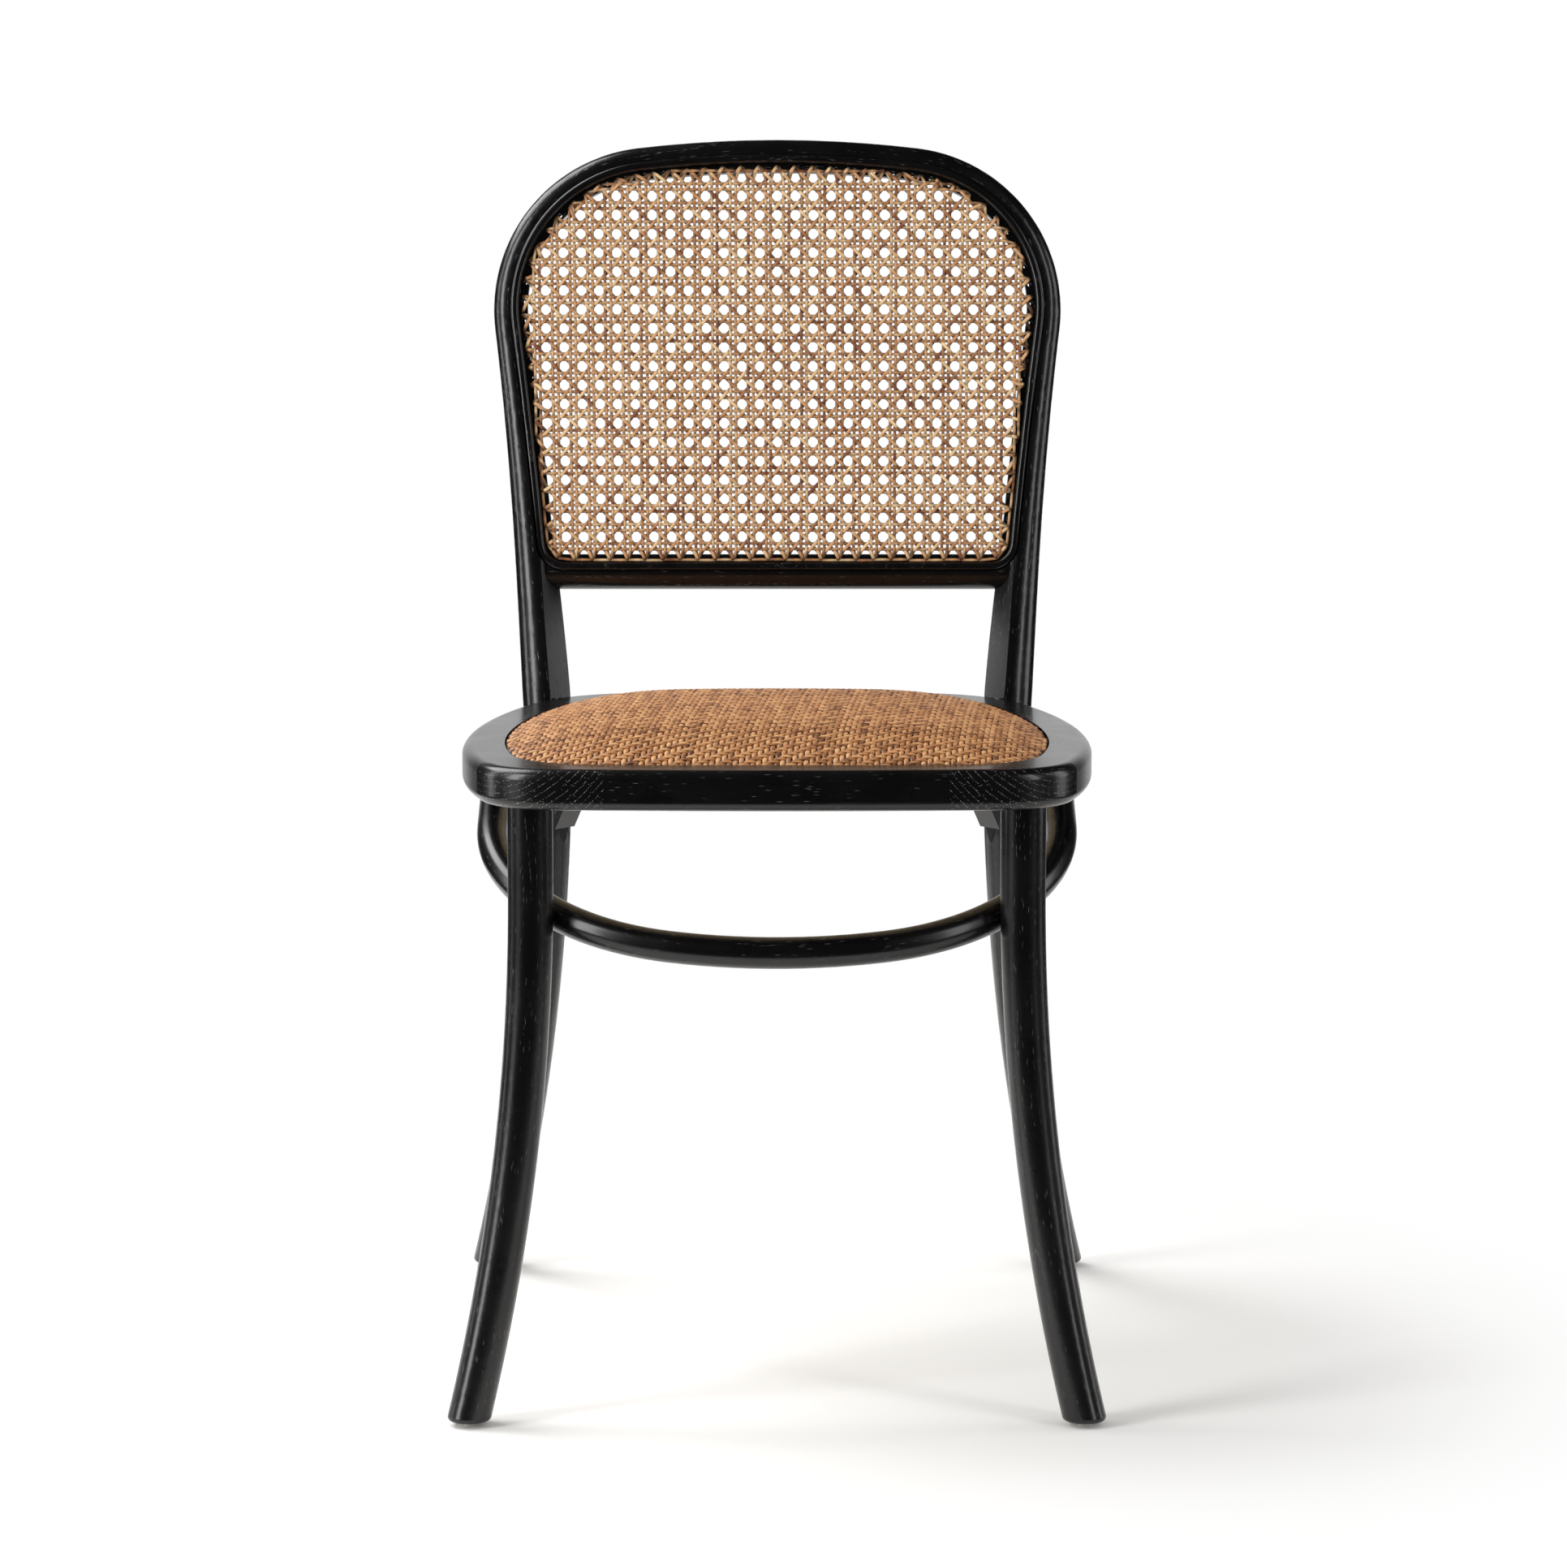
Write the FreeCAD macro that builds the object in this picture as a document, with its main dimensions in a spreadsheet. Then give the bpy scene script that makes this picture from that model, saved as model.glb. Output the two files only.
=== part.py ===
import FreeCAD, Part
import math
import os
import Sketcher
from FreeCAD import Placement, Rotation, Vector

# Bentwood chair with a caned back and a woven drop-in seat.
# Frame: floor at z = 0, +Z up, the sitter faces -Y, x = 0 is the plane of symmetry.
# All lengths are in millimetres and all angles in degrees.

os.makedirs("parts", exist_ok=True)
doc = FreeCAD.newDocument("bentwood_chair")

# Driving dimensions

SIZES = [
    ("seat_top", 459.5, "height of the seat ring's top face"),
    ("ring_thick", 28.5, "thickness of the seat ring"),
    ("ring_half_width", 223, "centre line to the ring's widest point"),
    ("ring_widest_y", -79, "where the ring is widest"),
    ("ring_front_y", -241, "front edge of the ring"),
    ("ring_rear_y", 183, "rear edge of the ring"),
    ("ring_front_rad", 2500, "bow of the front edge"),
    ("ring_rear_rad", 900, "bow of the rear edge"),
    ("side_front_rad", 420, "side of the ring, forward of its widest point"),
    ("side_rear_rad", 530, "side of the ring, behind its widest point"),
    ("front_corner_rad", 58, "outer front corners"),
    ("rear_corner_rad", 95, "outer rear corners"),
    ("ring_band", 30, "visible width of the ring's top face"),
    ("mouth_front_rad", 60, "front corners of the seat opening"),
    ("mouth_rear_rad", 78, "rear corners of the seat opening"),
    ("ring_round", 7.5, "rounding of the ring's outer edges"),
    ("ledge_width", 9, "ledge inside the ring that carries the seat board"),
    ("ledge_thick", 9, "thickness of that ledge"),
    ("front_joint_x", 118, "joint between the front rail and a side rail"),
    ("rear_joint_x", 100, "joint between the rear rail and a side rail"),
    ("dowel_dia", 8, "dowels in the ring joints"),
    ("dowel_length", 36, "length of a ring dowel"),
    ("dowel_spread", 12, "distance between the two dowels of a joint"),
    ("board_thick", 9, "plywood seat board"),
    ("insert_gap", 0.8, "gap between the drop-in seat and the ring"),
    ("skin_thick", 2.2, "woven cane skin of the seat"),
    ("pad_gap", 0.3, "clearance between the foam and the skin"),
    ("rim_drop", 0.5, "the seat's rim below the top of the ring"),
    ("crown_rise", 17.5, "height of the seat's crown above its rim"),
    ("crown_power", 4, "how flat the crown is before it falls to the rim"),
    ("leg_dia", 31.6, "front leg at the seat"),
    ("foot_dia", 29.8, "front leg at its foot"),
    ("front_leg_x", 170, "front leg at the seat"),
    ("front_leg_y", -201, "front leg at the seat"),
    ("front_foot_x", 214, "front foot on the floor"),
    ("front_foot_y", -234, "front foot on the floor"),
    ("front_leg_plumb", 56, "straight length at the top of a front leg"),
    ("leg_tenon_dia", 20, "round tenon on a front leg"),
    ("leg_tenon_length", 18, "length of that tenon"),
    ("foot_round", 3, "rounding of a foot's lower edge"),
    ("post_x", 173, "rear post at the seat"),
    ("post_y", 150, "rear post at the seat"),
    ("post_dia", 36, "rear post at the seat"),
    ("post_flat", 3, "depth of the flat on a post where the ring seats"),
    ("rear_foot_x", 222.5, "rear foot on the floor"),
    ("rear_foot_y", 233, "rear foot on the floor"),
    ("rear_foot_dia", 30, "rear leg at the floor"),
    ("rear_leg_plumb", 5, "straight length between the seat bend and the leg's curve"),
    ("seat_bend_rad", 200, "bend of the post at the seat"),
    ("back_lean", 10.5, "lean of the back, in degrees"),
    ("back_splay", 4, "outward slope of a post at the seat, in degrees"),
    ("side_bow_rad", 4500, "outward bow of the hoop's sides"),
    ("shoulder_rad", 111.5, "shoulders of the hoop"),
    ("crown_bow_rad", 884, "bow of the hoop's top"),
    ("hoop_reach", 425, "hoop's centre line above the seat bend, along the back"),
    ("post_rail_dia", 31.5, "post at the lower back rail"),
    ("hoop_side_dia", 23, "hoop where its shoulder starts"),
    ("hoop_top_dia", 21.5, "hoop at its top"),
    ("rail_reach", 108, "lower rail above the seat bend, along the back"),
    ("rail_dia", 25.6, "lower back rail"),
    ("rail_tenon_dia", 13, "round tenon on the rail"),
    ("cope_gap", 0.2, "clearance of the rail's hollowed ends"),
    ("frame_inset", 1.5, "cane frame's outer edge inside the hoop's centre line"),
    ("frame_corner_rad", 22, "lower outer corners of the cane frame"),
    ("frame_depth", 14, "depth of the cane frame"),
    ("bead_width", 6.5, "rounded bead round the cane"),
    ("bead_round", 2.8, "rounding of that bead"),
    ("lip_width", 6.5, "drilled lip that the cane lies on"),
    ("lip_depth", 8, "thickness of that lip"),
    ("rebate_floor", -1, "floor of the hoop's rebate, from its centre plane"),
    ("seat_gap", 0.2, "clearance round the frame in its rebate"),
    ("rim_hole_dia", 3, "holes that the cane strands enter"),
    ("rim_hole_pitch", 14.3, "distance between those holes"),
    ("cane_thick", 2.4, "thickness of the cane panel"),
    ("cane_pitch_x", 18.6, "holes of the cane net, across"),
    ("cane_pitch_y", 20, "holes of the cane net, up"),
    ("cane_hole_dia", 11.6, "hole of the cane net"),
    ("leg_hoop_dia", 22, "bent hoop between the legs"),
    ("leg_hoop_half_width", 203, "hoop's centre line at its sides"),
    ("leg_hoop_front_rad", 340, "hoop's front bow"),
    ("leg_hoop_corner_rad", 165, "hoop's corners"),
    ("leg_hoop_tilt", 21.8, "slope of the hoop, in degrees"),
    ("leg_hoop_end_y", 21, "where its centre line meets the ring's underside"),
    ("leg_hoop_tail", 12, "length past that point before the end is cut flush"),
    ("touch_gap", 0.2, "clearance between round pieces that are screwed together"),
    ("block_top", 40, "corner block along the ring's underside"),
    ("block_drop", 70, "corner block down the leg"),
    ("block_width", 21, "width of a corner block"),
    ("block_nose", 2, "thickness of a corner block's thin ends"),
    ("fit_gap", 0.1, "radial clearance of pins and screws in their holes"),
    ("screw_dia", 4, "wood screw shank"),
    ("screw_head_dia", 8, "wood screw head"),
    ("screw_head_thick", 2.2, "wood screw head"),
    ("board_screw_length", 15, "screws up through the ledge into the board"),
    ("board_screw_count", 6, "number of those screws"),
    ("frame_screw_grip", 4, "hoop wall under a cane frame screw's head"),
    ("frame_screw_length", 13, "screws through the hoop into the cane frame"),
    ("hoop_screw_grip", 12, "hoop wall under a head at the ring"),
    ("hoop_screw_length", 28, "screws through the leg hoop into the ring"),
    ("leg_screw_grip", 17, "leg hoop wall under a head at a front leg"),
    ("leg_screw_length", 34, "screws through the leg hoop into a front leg"),
    ("bolt_dia", 6, "bolt through a rear post"),
    ("bolt_length", 47, "length of that bolt under its head"),
    ("bolt_head_dia", 10, "bolt head"),
    ("bolt_head_thick", 6, "bolt head"),
    ("bolt_seat", 8, "washer seat behind the post's centre line"),
    ("washer_dia", 14, "bolt washer"),
    ("washer_thick", 1.5, "bolt washer"),
    ("nut_dia", 10, "cross nut in the ring"),
    ("nut_length", 16, "cross nut in the ring"),
    ("nut_inset", 20, "cross nut inside the ring's flat"),
    ("glide_dia", 12, "floor glide"),
    ("glide_height", 3.5, "floor glide below the wood"),
    ("glide_sole_dia", 6, "flat sole of a glide"),
    ("glide_pin_dia", 3, "nail of a glide"),
    ("glide_pin_length", 14, "nail of a glide"),
]

sheet = doc.addObject("Spreadsheet::Sheet", "sizes")
for row, (alias, value, note) in enumerate(SIZES, start=1):
    sheet.set("A%d" % row, alias)
    sheet.set("B%d" % row, str(value))
    sheet.set("C%d" % row, note)
    sheet.setAlias("B%d" % row, alias)
doc.recompute()


def size(alias):
    """One driving dimension, read from the sheet."""
    return float(sheet.get(alias))


def bind(thing, **expressions):
    """Tie properties of an object to expressions in sheet aliases."""
    for name, text in expressions.items():
        for alias, _, _ in SIZES:
            text = replace_word(text, alias)
        thing.setExpression(name, text)
    return thing


def replace_word(text, alias):
    """Put sizes. before a whole-word alias."""
    out = []
    word = ""
    for letter in text + " ":
        if letter.isalnum() or letter == "_":
            word += letter
            continue
        out.append("sizes." + word if word == alias else word)
        out.append(letter)
        word = ""
    return "".join(out).strip()


# Plane geometry

def unit(v):
    return v * (1.0 / v.Length)


def circles_meet(c1, r1, c2, r2, left):
    """A point at r1 from c1 and r2 from c2, to the left of c1 to c2 or to its right."""
    gap = c2 - c1
    along = (gap.Length ** 2 + r1 ** 2 - r2 ** 2) / (2 * gap.Length)
    off = math.sqrt(max(r1 ** 2 - along ** 2, 0))
    ahead = unit(gap)
    across = Vector(-ahead.y, ahead.x, 0)
    return c1 + ahead * along + across * (off if left else -off)


def arc_about(centre, start, end):
    """The shorter circular arc from start to end about centre."""
    radius = (start - centre).Length
    middle = unit((start - centre) + (end - centre))
    return Part.Arc(start, centre + middle * radius, end)


def mirrored(point):
    return Vector(-point.x, point.y, point.z)


def closed_outline(half):
    """A closed list of curves from its right half, listed from x = 0 to x = 0.

    half holds (centre or None, start, end): an arc about the centre or a line.
    The first and last curves cross x = 0 and are made whole.
    """
    first, last = half[0], half[-1]
    inner = half[1:-1]
    curves = [join(first[0], mirrored(first[2]), first[2])]
    curves += [join(c, a, b) for c, a, b in inner]
    curves.append(join(last[0], last[1], mirrored(last[1])))
    for c, a, b in reversed(inner):
        curves.append(join(mirrored(c), mirrored(b), mirrored(a)))
    return curves


def join(centre, start, end):
    if centre is None:
        return Part.LineSegment(start, end)
    return arc_about(centre, start, end)


def wire_of(curves):
    return Part.Wire([c.toShape() for c in curves])


# Seat ring outline

def ring_half(inset, front_rad, rear_rad):
    """Right half of the ring's outline, drawn in by inset."""
    widest = Vector(size("ring_half_width") - inset, size("ring_widest_y"), 0)
    c_front = Vector(0, size("ring_front_y") + size("ring_front_rad"), 0)
    c_rear = Vector(0, size("ring_rear_y") - size("ring_rear_rad"), 0)
    c_side_f = widest - Vector(size("side_front_rad") - inset, 0, 0)
    c_side_r = widest - Vector(size("side_rear_rad") - inset, 0, 0)
    r_front = size("ring_front_rad") - inset
    r_rear = size("ring_rear_rad") - inset
    r_side_f = size("side_front_rad") - inset
    r_side_r = size("side_rear_rad") - inset
    corner_f = circles_meet(c_front, r_front - front_rad, c_side_f, r_side_f - front_rad, True)
    corner_r = circles_meet(c_rear, r_rear - rear_rad, c_side_r, r_side_r - rear_rad, False)
    front_end = c_front + unit(corner_f - c_front) * r_front
    side_start = c_side_f + unit(corner_f - c_side_f) * r_side_f
    side_end = c_side_r + unit(corner_r - c_side_r) * r_side_r
    rear_start = c_rear + unit(corner_r - c_rear) * r_rear
    return [
        (c_front, None, front_end),
        (corner_f, front_end, side_start),
        (c_side_f, side_start, widest),
        (c_side_r, widest, side_end),
        (corner_r, side_end, rear_start),
        (c_rear, rear_start, None),
    ]


def ring_curves(inset, front_rad, rear_rad):
    return closed_outline(ring_half(inset, front_rad, rear_rad))


def outer_ring():
    return ring_curves(0, size("front_corner_rad"), size("rear_corner_rad"))


def mouth_ring(extra):
    """The seat opening's outline, drawn in by extra."""
    return ring_curves(size("ring_band") + extra, size("mouth_front_rad") - extra,
                       size("mouth_rear_rad") - extra)


RING_BOTTOM = size("seat_top") - size("ring_thick")
LEDGE_TOP = RING_BOTTOM + size("ledge_thick")
REAR_CORNER = ring_half(0, size("front_corner_rad"), size("rear_corner_rad"))[4][0]

# Back hoop outline, in the plane of the back
# Its x runs across and its y up the back from the bend at the seat.

LEAN = math.radians(size("back_lean"))
SPLAY = math.radians(size("back_splay"))
BEND_Z = size("seat_top") - size("ring_thick") / 2
UP = Vector(0, math.sin(LEAN), math.cos(LEAN))
FRONT = Vector(0, -math.cos(LEAN), math.sin(LEAN))
BACK_ORIGIN = Vector(0, size("post_y"), BEND_Z)
BACK_PLACE = Placement(BACK_ORIGIN, Rotation(Vector(1, 0, 0), 90 - size("back_lean")))
POST_UP = Vector(math.sin(SPLAY), 0, 0) + UP * math.cos(SPLAY)
BEND_TANGENT = size("seat_bend_rad") * math.tan(math.acos(POST_UP.z) / 2)

POST_HEADING = Vector(math.sin(SPLAY), math.cos(SPLAY), 0)
HOOP_START = Vector(size("post_x"), 0, 0) + POST_HEADING * BEND_TANGENT
C_SIDE = HOOP_START + Vector(math.cos(SPLAY), -math.sin(SPLAY), 0) * size("side_bow_rad")
C_CROWN = Vector(0, size("hoop_reach") - size("crown_bow_rad"), 0)
C_SHOULDER = circles_meet(C_CROWN, size("crown_bow_rad") - size("shoulder_rad"),
                          C_SIDE, size("side_bow_rad") + size("shoulder_rad"), False)
if C_SHOULDER.y < C_CROWN.y + size("crown_bow_rad") / 2:
    C_SHOULDER = circles_meet(C_CROWN, size("crown_bow_rad") - size("shoulder_rad"),
                              C_SIDE, size("side_bow_rad") + size("shoulder_rad"), True)


def side_at(height, inset):
    """Point of the hoop's side arc at a height up the back."""
    radius = size("side_bow_rad") + inset
    rise = height - C_SIDE.y
    return Vector(C_SIDE.x - math.sqrt(radius ** 2 - rise ** 2), height, 0)


def shoulder_ends(inset):
    low = C_SIDE + unit(C_SHOULDER - C_SIDE) * (size("side_bow_rad") + inset)
    high = C_CROWN + unit(C_SHOULDER - C_CROWN) * (size("crown_bow_rad") - inset)
    return low, high


def frame_curves(extra):
    """The cane frame's outline, drawn in by extra, as curves in the plane of the back."""
    inset = size("frame_inset") + extra
    bottom = size("rail_reach") + extra
    corner = max(size("frame_corner_rad") - extra, 1)
    rise = bottom + corner - C_SIDE.y
    reach = size("side_bow_rad") + inset + corner
    c_corner = Vector(C_SIDE.x - math.sqrt(reach ** 2 - rise ** 2), bottom + corner, 0)
    low, high = shoulder_ends(inset)
    foot = Vector(c_corner.x, bottom, 0)
    side = C_SIDE + unit(c_corner - C_SIDE) * (size("side_bow_rad") + inset)
    return closed_outline([
        (None, None, foot),
        (c_corner, foot, side),
        (C_SIDE, side, low),
        (C_SHOULDER, low, high),
        (C_CROWN, high, None),
    ])


def on_back(point, depth=0):
    """A point of the back's plane in the chair's frame."""
    return BACK_ORIGIN + Vector(point.x, 0, 0) + UP * point.y + FRONT * depth


# Leg curves

def leg_path(top, foot, plumb, past):
    """Spine of a leg, from its top: a plumb line, then one arc to the foot and past it."""
    knee = top - Vector(0, 0, plumb)
    out = Vector(foot.x - top.x, foot.y - top.y, 0)
    drop = knee.z - foot.z
    radius = (drop ** 2 + out.Length ** 2) / (2 * out.Length)
    centre = knee + unit(out) * radius
    turn = math.asin(drop / radius) + past / radius

    def point(angle):
        return centre - unit(out) * radius * math.cos(angle) - Vector(0, 0, radius * math.sin(angle))

    return knee, point(turn / 2), point(turn), radius


def leg_axis_at(top, foot, plumb, height):
    """Centre line of a leg at a height."""
    knee, _, _, radius = leg_path(top, foot, plumb, 0)
    if height >= knee.z:
        return Vector(top.x, top.y, height)
    out = unit(Vector(foot.x - top.x, foot.y - top.y, 0))
    sag = radius - math.sqrt(radius ** 2 - (knee.z - height) ** 2)
    return Vector(top.x, top.y, height) + out * sag


FOOT_Z = size("glide_height")
FRONT_TOP = Vector(size("front_leg_x"), size("front_leg_y"), RING_BOTTOM)
FRONT_FOOT = Vector(size("front_foot_x"), size("front_foot_y"), FOOT_Z)
REAR_TOP = Vector(size("post_x"), size("post_y"), BEND_Z)
REAR_FOOT = Vector(size("rear_foot_x"), size("rear_foot_y"), FOOT_Z)
REAR_PLUMB = BEND_TANGENT + size("rear_leg_plumb")
FOOT_RUNOUT = size("leg_dia")

# Document helpers

SUBPARTS = []


def node(thing, label):
    """Name a finished sub-part."""
    thing.Label = label
    SUBPARTS.append(thing)
    return thing


def new_body(name):
    return doc.addObject("PartDesign::Body", name)


def sketch_on(body, role, name, lift=None):
    """A sketch on one of the body's own origin planes, lifted by an expression."""
    plane = next(f for f in body.Origin.OriginFeatures if f.Role == role)
    sketch = body.newObject("Sketcher::SketchObject", name)
    sketch.AttachmentSupport = [(plane, "")]
    sketch.MapMode = "FlatFace"
    if lift:
        bind(sketch, **{"AttachmentOffset.Base.z": lift})
    return sketch


def draw(sketch, curves):
    """Add a closed run of curves to a sketch, each tied to the next where their ends meet."""
    first = sketch.GeometryCount
    for curve in curves:
        sketch.addGeometry(curve, False)
    count = len(curves)
    for k in range(count):
        here, following = first + k, first + (k + 1) % count
        for end in (1, 2):
            for start in (1, 2):
                gap = sketch.getPoint(here, end) - sketch.getPoint(following, start)
                if gap.Length < 1e-6:
                    tie = Sketcher.Constraint("Coincident", here, end, following, start)
                    sketch.addConstraint(tie)


def draw_circle(sketch, x, y, diameter):
    """A circle whose diameter is tied to a sheet alias."""
    circle = Part.Circle(Vector(x, y, 0), Vector(0, 0, 1), size(diameter) / 2)
    index = sketch.addGeometry(circle, False)
    row = sketch.addConstraint(Sketcher.Constraint("Diameter", index, size(diameter)))
    bind(sketch, **{"Constraints[%d]" % row: diameter})


def pad(body, sketch, name, length, back=False):
    feature = body.newObject("PartDesign::Pad", name)
    feature.Profile = sketch
    feature.Reversed = back
    bind(feature, Length=length)
    body.Tip = feature
    return feature


def pocket(body, sketch, name, length, forward=False):
    feature = body.newObject("PartDesign::Pocket", name)
    feature.Profile = sketch
    feature.Reversed = forward
    bind(feature, Length=length)
    body.Tip = feature
    return feature


def round_edges(body, name, radius, wanted):
    """Fillet those edges of the body's tip that wanted(edge) picks."""
    doc.recompute()
    base = body.Tip
    names = ["Edge%d" % (k + 1) for k, edge in enumerate(base.Shape.Edges) if wanted(edge)]
    feature = body.newObject("PartDesign::Fillet", name)
    feature.Base = (base, names)
    bind(feature, Radius=radius)
    body.Tip = feature
    return feature


def aim(point, direction):
    """Placement that turns +Z to a direction."""
    return Placement(point, Rotation(Vector(0, 0, 1), direction))


def plain(name, shape):
    """A document object for a shape that is made directly."""
    thing = doc.addObject("Part::Feature", name)
    thing.Shape = shape
    return thing


def cylinder(name, radius, height, place):
    """A round rod; its height is an expression, or a length that is worked out."""
    rod = doc.addObject("Part::Cylinder", name)
    bind(rod, Radius=radius)
    if isinstance(height, str):
        bind(rod, Height=height)
    else:
        rod.Height = height
    rod.Placement = place
    return rod


def fuse(name, things):
    if len(things) == 1:
        return things[0]
    joined = doc.addObject("Part::MultiFuse", name)
    joined.Shapes = things
    return joined


def cut(name, base, tools):
    """base less all the tools."""
    result = doc.addObject("Part::Cut", name)
    result.Base = base
    result.Tool = fuse(name + "_tools", tools)
    return result


def round_foot(name, base):
    """Round the lower edge of each foot of a cut-off leg."""
    doc.recompute()
    edges = []
    for k, edge in enumerate(base.Shape.Edges):
        box = edge.BoundBox
        if abs(box.ZMin - FOOT_Z) < 1e-3 and abs(box.ZMax - FOOT_Z) < 1e-3:
            edges.append((k + 1, size("foot_round"), size("foot_round")))
    rounded = doc.addObject("Part::Fillet", name)
    rounded.Base = base
    rounded.Edges = edges
    return rounded


def group(name, things):
    bundle = doc.addObject("Part::Compound", name)
    bundle.Links = things
    return bundle


def half_space(name, point, normal, reach):
    """A block that fills the side of a plane that normal points to."""
    block = doc.addObject("Part::Box", name)
    block.Length = reach
    block.Width = reach
    block.Height = reach
    place = aim(point, normal)
    centre = place.multVec(Vector(-reach / 2, -reach / 2, 0))
    block.Placement = Placement(centre, place.Rotation)
    return block


def screw(name, seat, direction, length):
    """A wood screw: its head's underside is at seat and its shank runs along direction."""
    shank = cylinder(name + "_shank", "screw_dia / 2", length, aim(seat, direction))
    head = cylinder(name + "_head", "screw_head_dia / 2", "screw_head_thick",
                    aim(seat - direction * size("screw_head_thick"), direction))
    return fuse(name, [shank, head])


def screw_hole(name, seat, direction, length, recess=0):
    """The hole of such a screw, with a recess of a given depth for its head."""
    hole = cylinder(name + "_hole", "screw_dia / 2 + fit_gap", length + " + fit_gap",
                    aim(seat, direction))
    if not recess:
        return [hole]
    pit = cylinder(name + "_pit", "screw_head_dia / 2 + fit_gap", recess,
                   aim(seat - direction * recess, direction))
    return [hole, pit]


def both_sides(vector):
    return [("left", mirrored(vector)), ("right", vector)]


# Seat ring blank
# The ring is made whole, rounded, and then parted into its four rails.

def make_ring_blank():
    body = new_body("ring_blank")
    bind(body, **{"Placement.Base.z": "seat_top - ring_thick"})
    outline = sketch_on(body, "XY_Plane", "ring_outline")
    draw(outline, outer_ring())
    draw(outline, mouth_ring(size("ledge_width")))
    pad(body, outline, "ring_pad", "ring_thick")
    seat = sketch_on(body, "XY_Plane", "ring_seat", "ring_thick")
    draw(seat, mouth_ring(0))
    pocket(body, seat, "ring_rebate", "ring_thick - ledge_thick")
    inner = Part.Face(wire_of(mouth_ring(-size("ring_band") / 2)))

    def outer_edge(edge):
        box = edge.BoundBox
        flat = box.ZLength < 1e-6
        level = box.ZMin < 1e-6 or abs(box.ZMin - size("ring_thick")) < 1e-6
        middle = edge.valueAt((edge.FirstParameter + edge.LastParameter) / 2)
        return flat and level and not inner.isInside(Vector(middle.x, middle.y, 0), 1e-6, True)

    round_edges(body, "ring_edge_round", "ring_round", outer_edge)
    return body


RING_MID_Z = RING_BOTTOM + size("ring_thick") / 2


def post_flats():
    """The plane between each post and the ring: a point on it and its normal, to the post."""
    flats = {}
    for side, post in both_sides(REAR_TOP):
        corner = REAR_CORNER if side == "right" else mirrored(REAR_CORNER)
        normal = unit(Vector(post.x - corner.x, post.y - corner.y, 0))
        flats[side] = (post - normal * (size("post_dia") / 2 - size("post_flat")), normal)
    return flats


POST_FLATS = post_flats()


def dowel_places():
    """Axis starts of the ring's dowels, all running along +X through a joint."""
    band = size("ring_band")
    x_front, x_rear = size("front_joint_x"), size("rear_joint_x")
    front_bow = size("ring_front_rad") - math.sqrt(size("ring_front_rad") ** 2 - x_front ** 2)
    rear_bow = size("ring_rear_rad") - math.sqrt(size("ring_rear_rad") ** 2 - x_rear ** 2)
    joints = [
        (x_front, size("ring_front_y") + front_bow + band / 2),
        (x_rear, size("ring_rear_y") - rear_bow - band / 2),
    ]
    places = []
    for x, y in joints:
        for sign in (-1, 1):
            for step in (-0.5, 0.5):
                start = Vector(sign * x - size("dowel_length") / 2,
                               y + step * size("dowel_spread"), RING_MID_Z)
                places.append(aim(start, Vector(1, 0, 0)))
    return places


def board_screw_seats():
    """Points on the ledge's underside, spread evenly down each side of it."""
    inset = size("ring_band") + size("ledge_width") / 2
    half = ring_half(inset, size("mouth_front_rad") - size("ledge_width") / 2,
                     size("mouth_rear_rad") - size("ledge_width") / 2)
    pieces = [join(c, a, b) for c, a, b in half[1:-1]]
    side = wire_of(pieces)
    count = int(size("board_screw_count") / 2)
    points = side.discretize(2 * count + 1)[1::2]
    return [Vector(sign * p.x, p.y, RING_BOTTOM) for p in points for sign in (-1, 1)]


# Leg hoop spine, in its own sloping plane

TILT = math.radians(size("leg_hoop_tilt"))


def leg_hoop_half():
    """Arc centres and tangent points of the hoop's right half, from its front centre."""
    c_front = Vector(0, size("leg_hoop_front_rad"), 0)
    corner = size("leg_hoop_corner_rad")
    x_corner = size("leg_hoop_half_width") - corner
    reach = size("leg_hoop_front_rad") - corner
    c_corner = Vector(x_corner, c_front.y - math.sqrt(reach ** 2 - x_corner ** 2), 0)
    front_end = c_front + unit(c_corner - c_front) * size("leg_hoop_front_rad")
    side_start = Vector(size("leg_hoop_half_width"), c_corner.y, 0)
    return c_front, c_corner, front_end, side_start


def leg_hoop_place(front):
    """Placement of the hoop's plane when its front centre is that far ahead of the ends."""
    end = Vector(0, size("leg_hoop_end_y"), RING_BOTTOM)
    slope = Vector(0, math.cos(TILT), math.sin(TILT))
    return Placement(end - slope * front, Rotation(Vector(1, 0, 0), size("leg_hoop_tilt")))


def touch_distance(front):
    """Least distance from the hoop's centre line to a front leg's, and its two points."""
    c_front, c_corner, front_end, side_start = leg_hoop_half()
    place = leg_hoop_place(front)
    steps = 200
    first = math.atan2(front_end.y - c_corner.y, front_end.x - c_corner.x)
    best = None
    for k in range(-steps // 2, steps + 1):
        turn = first - first * k / steps
        local = c_corner + Vector(math.cos(turn), math.sin(turn), 0) * size("leg_hoop_corner_rad")
        if k < 0:
            swing = math.atan2(front_end.y - c_front.y, front_end.x - c_front.x)
            turn = swing + (-math.pi / 2 - swing) * (-2 * k / steps)
            local = c_front + Vector(math.cos(turn), math.sin(turn), 0) * size("leg_hoop_front_rad")
        point = place.multVec(local)
        axis = leg_axis_at(FRONT_TOP, FRONT_FOOT, size("front_leg_plumb"), point.z)
        gap = (point - axis).Length
        if best is None or gap < best[0]:
            best = (gap, point, axis)
    return best


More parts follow.
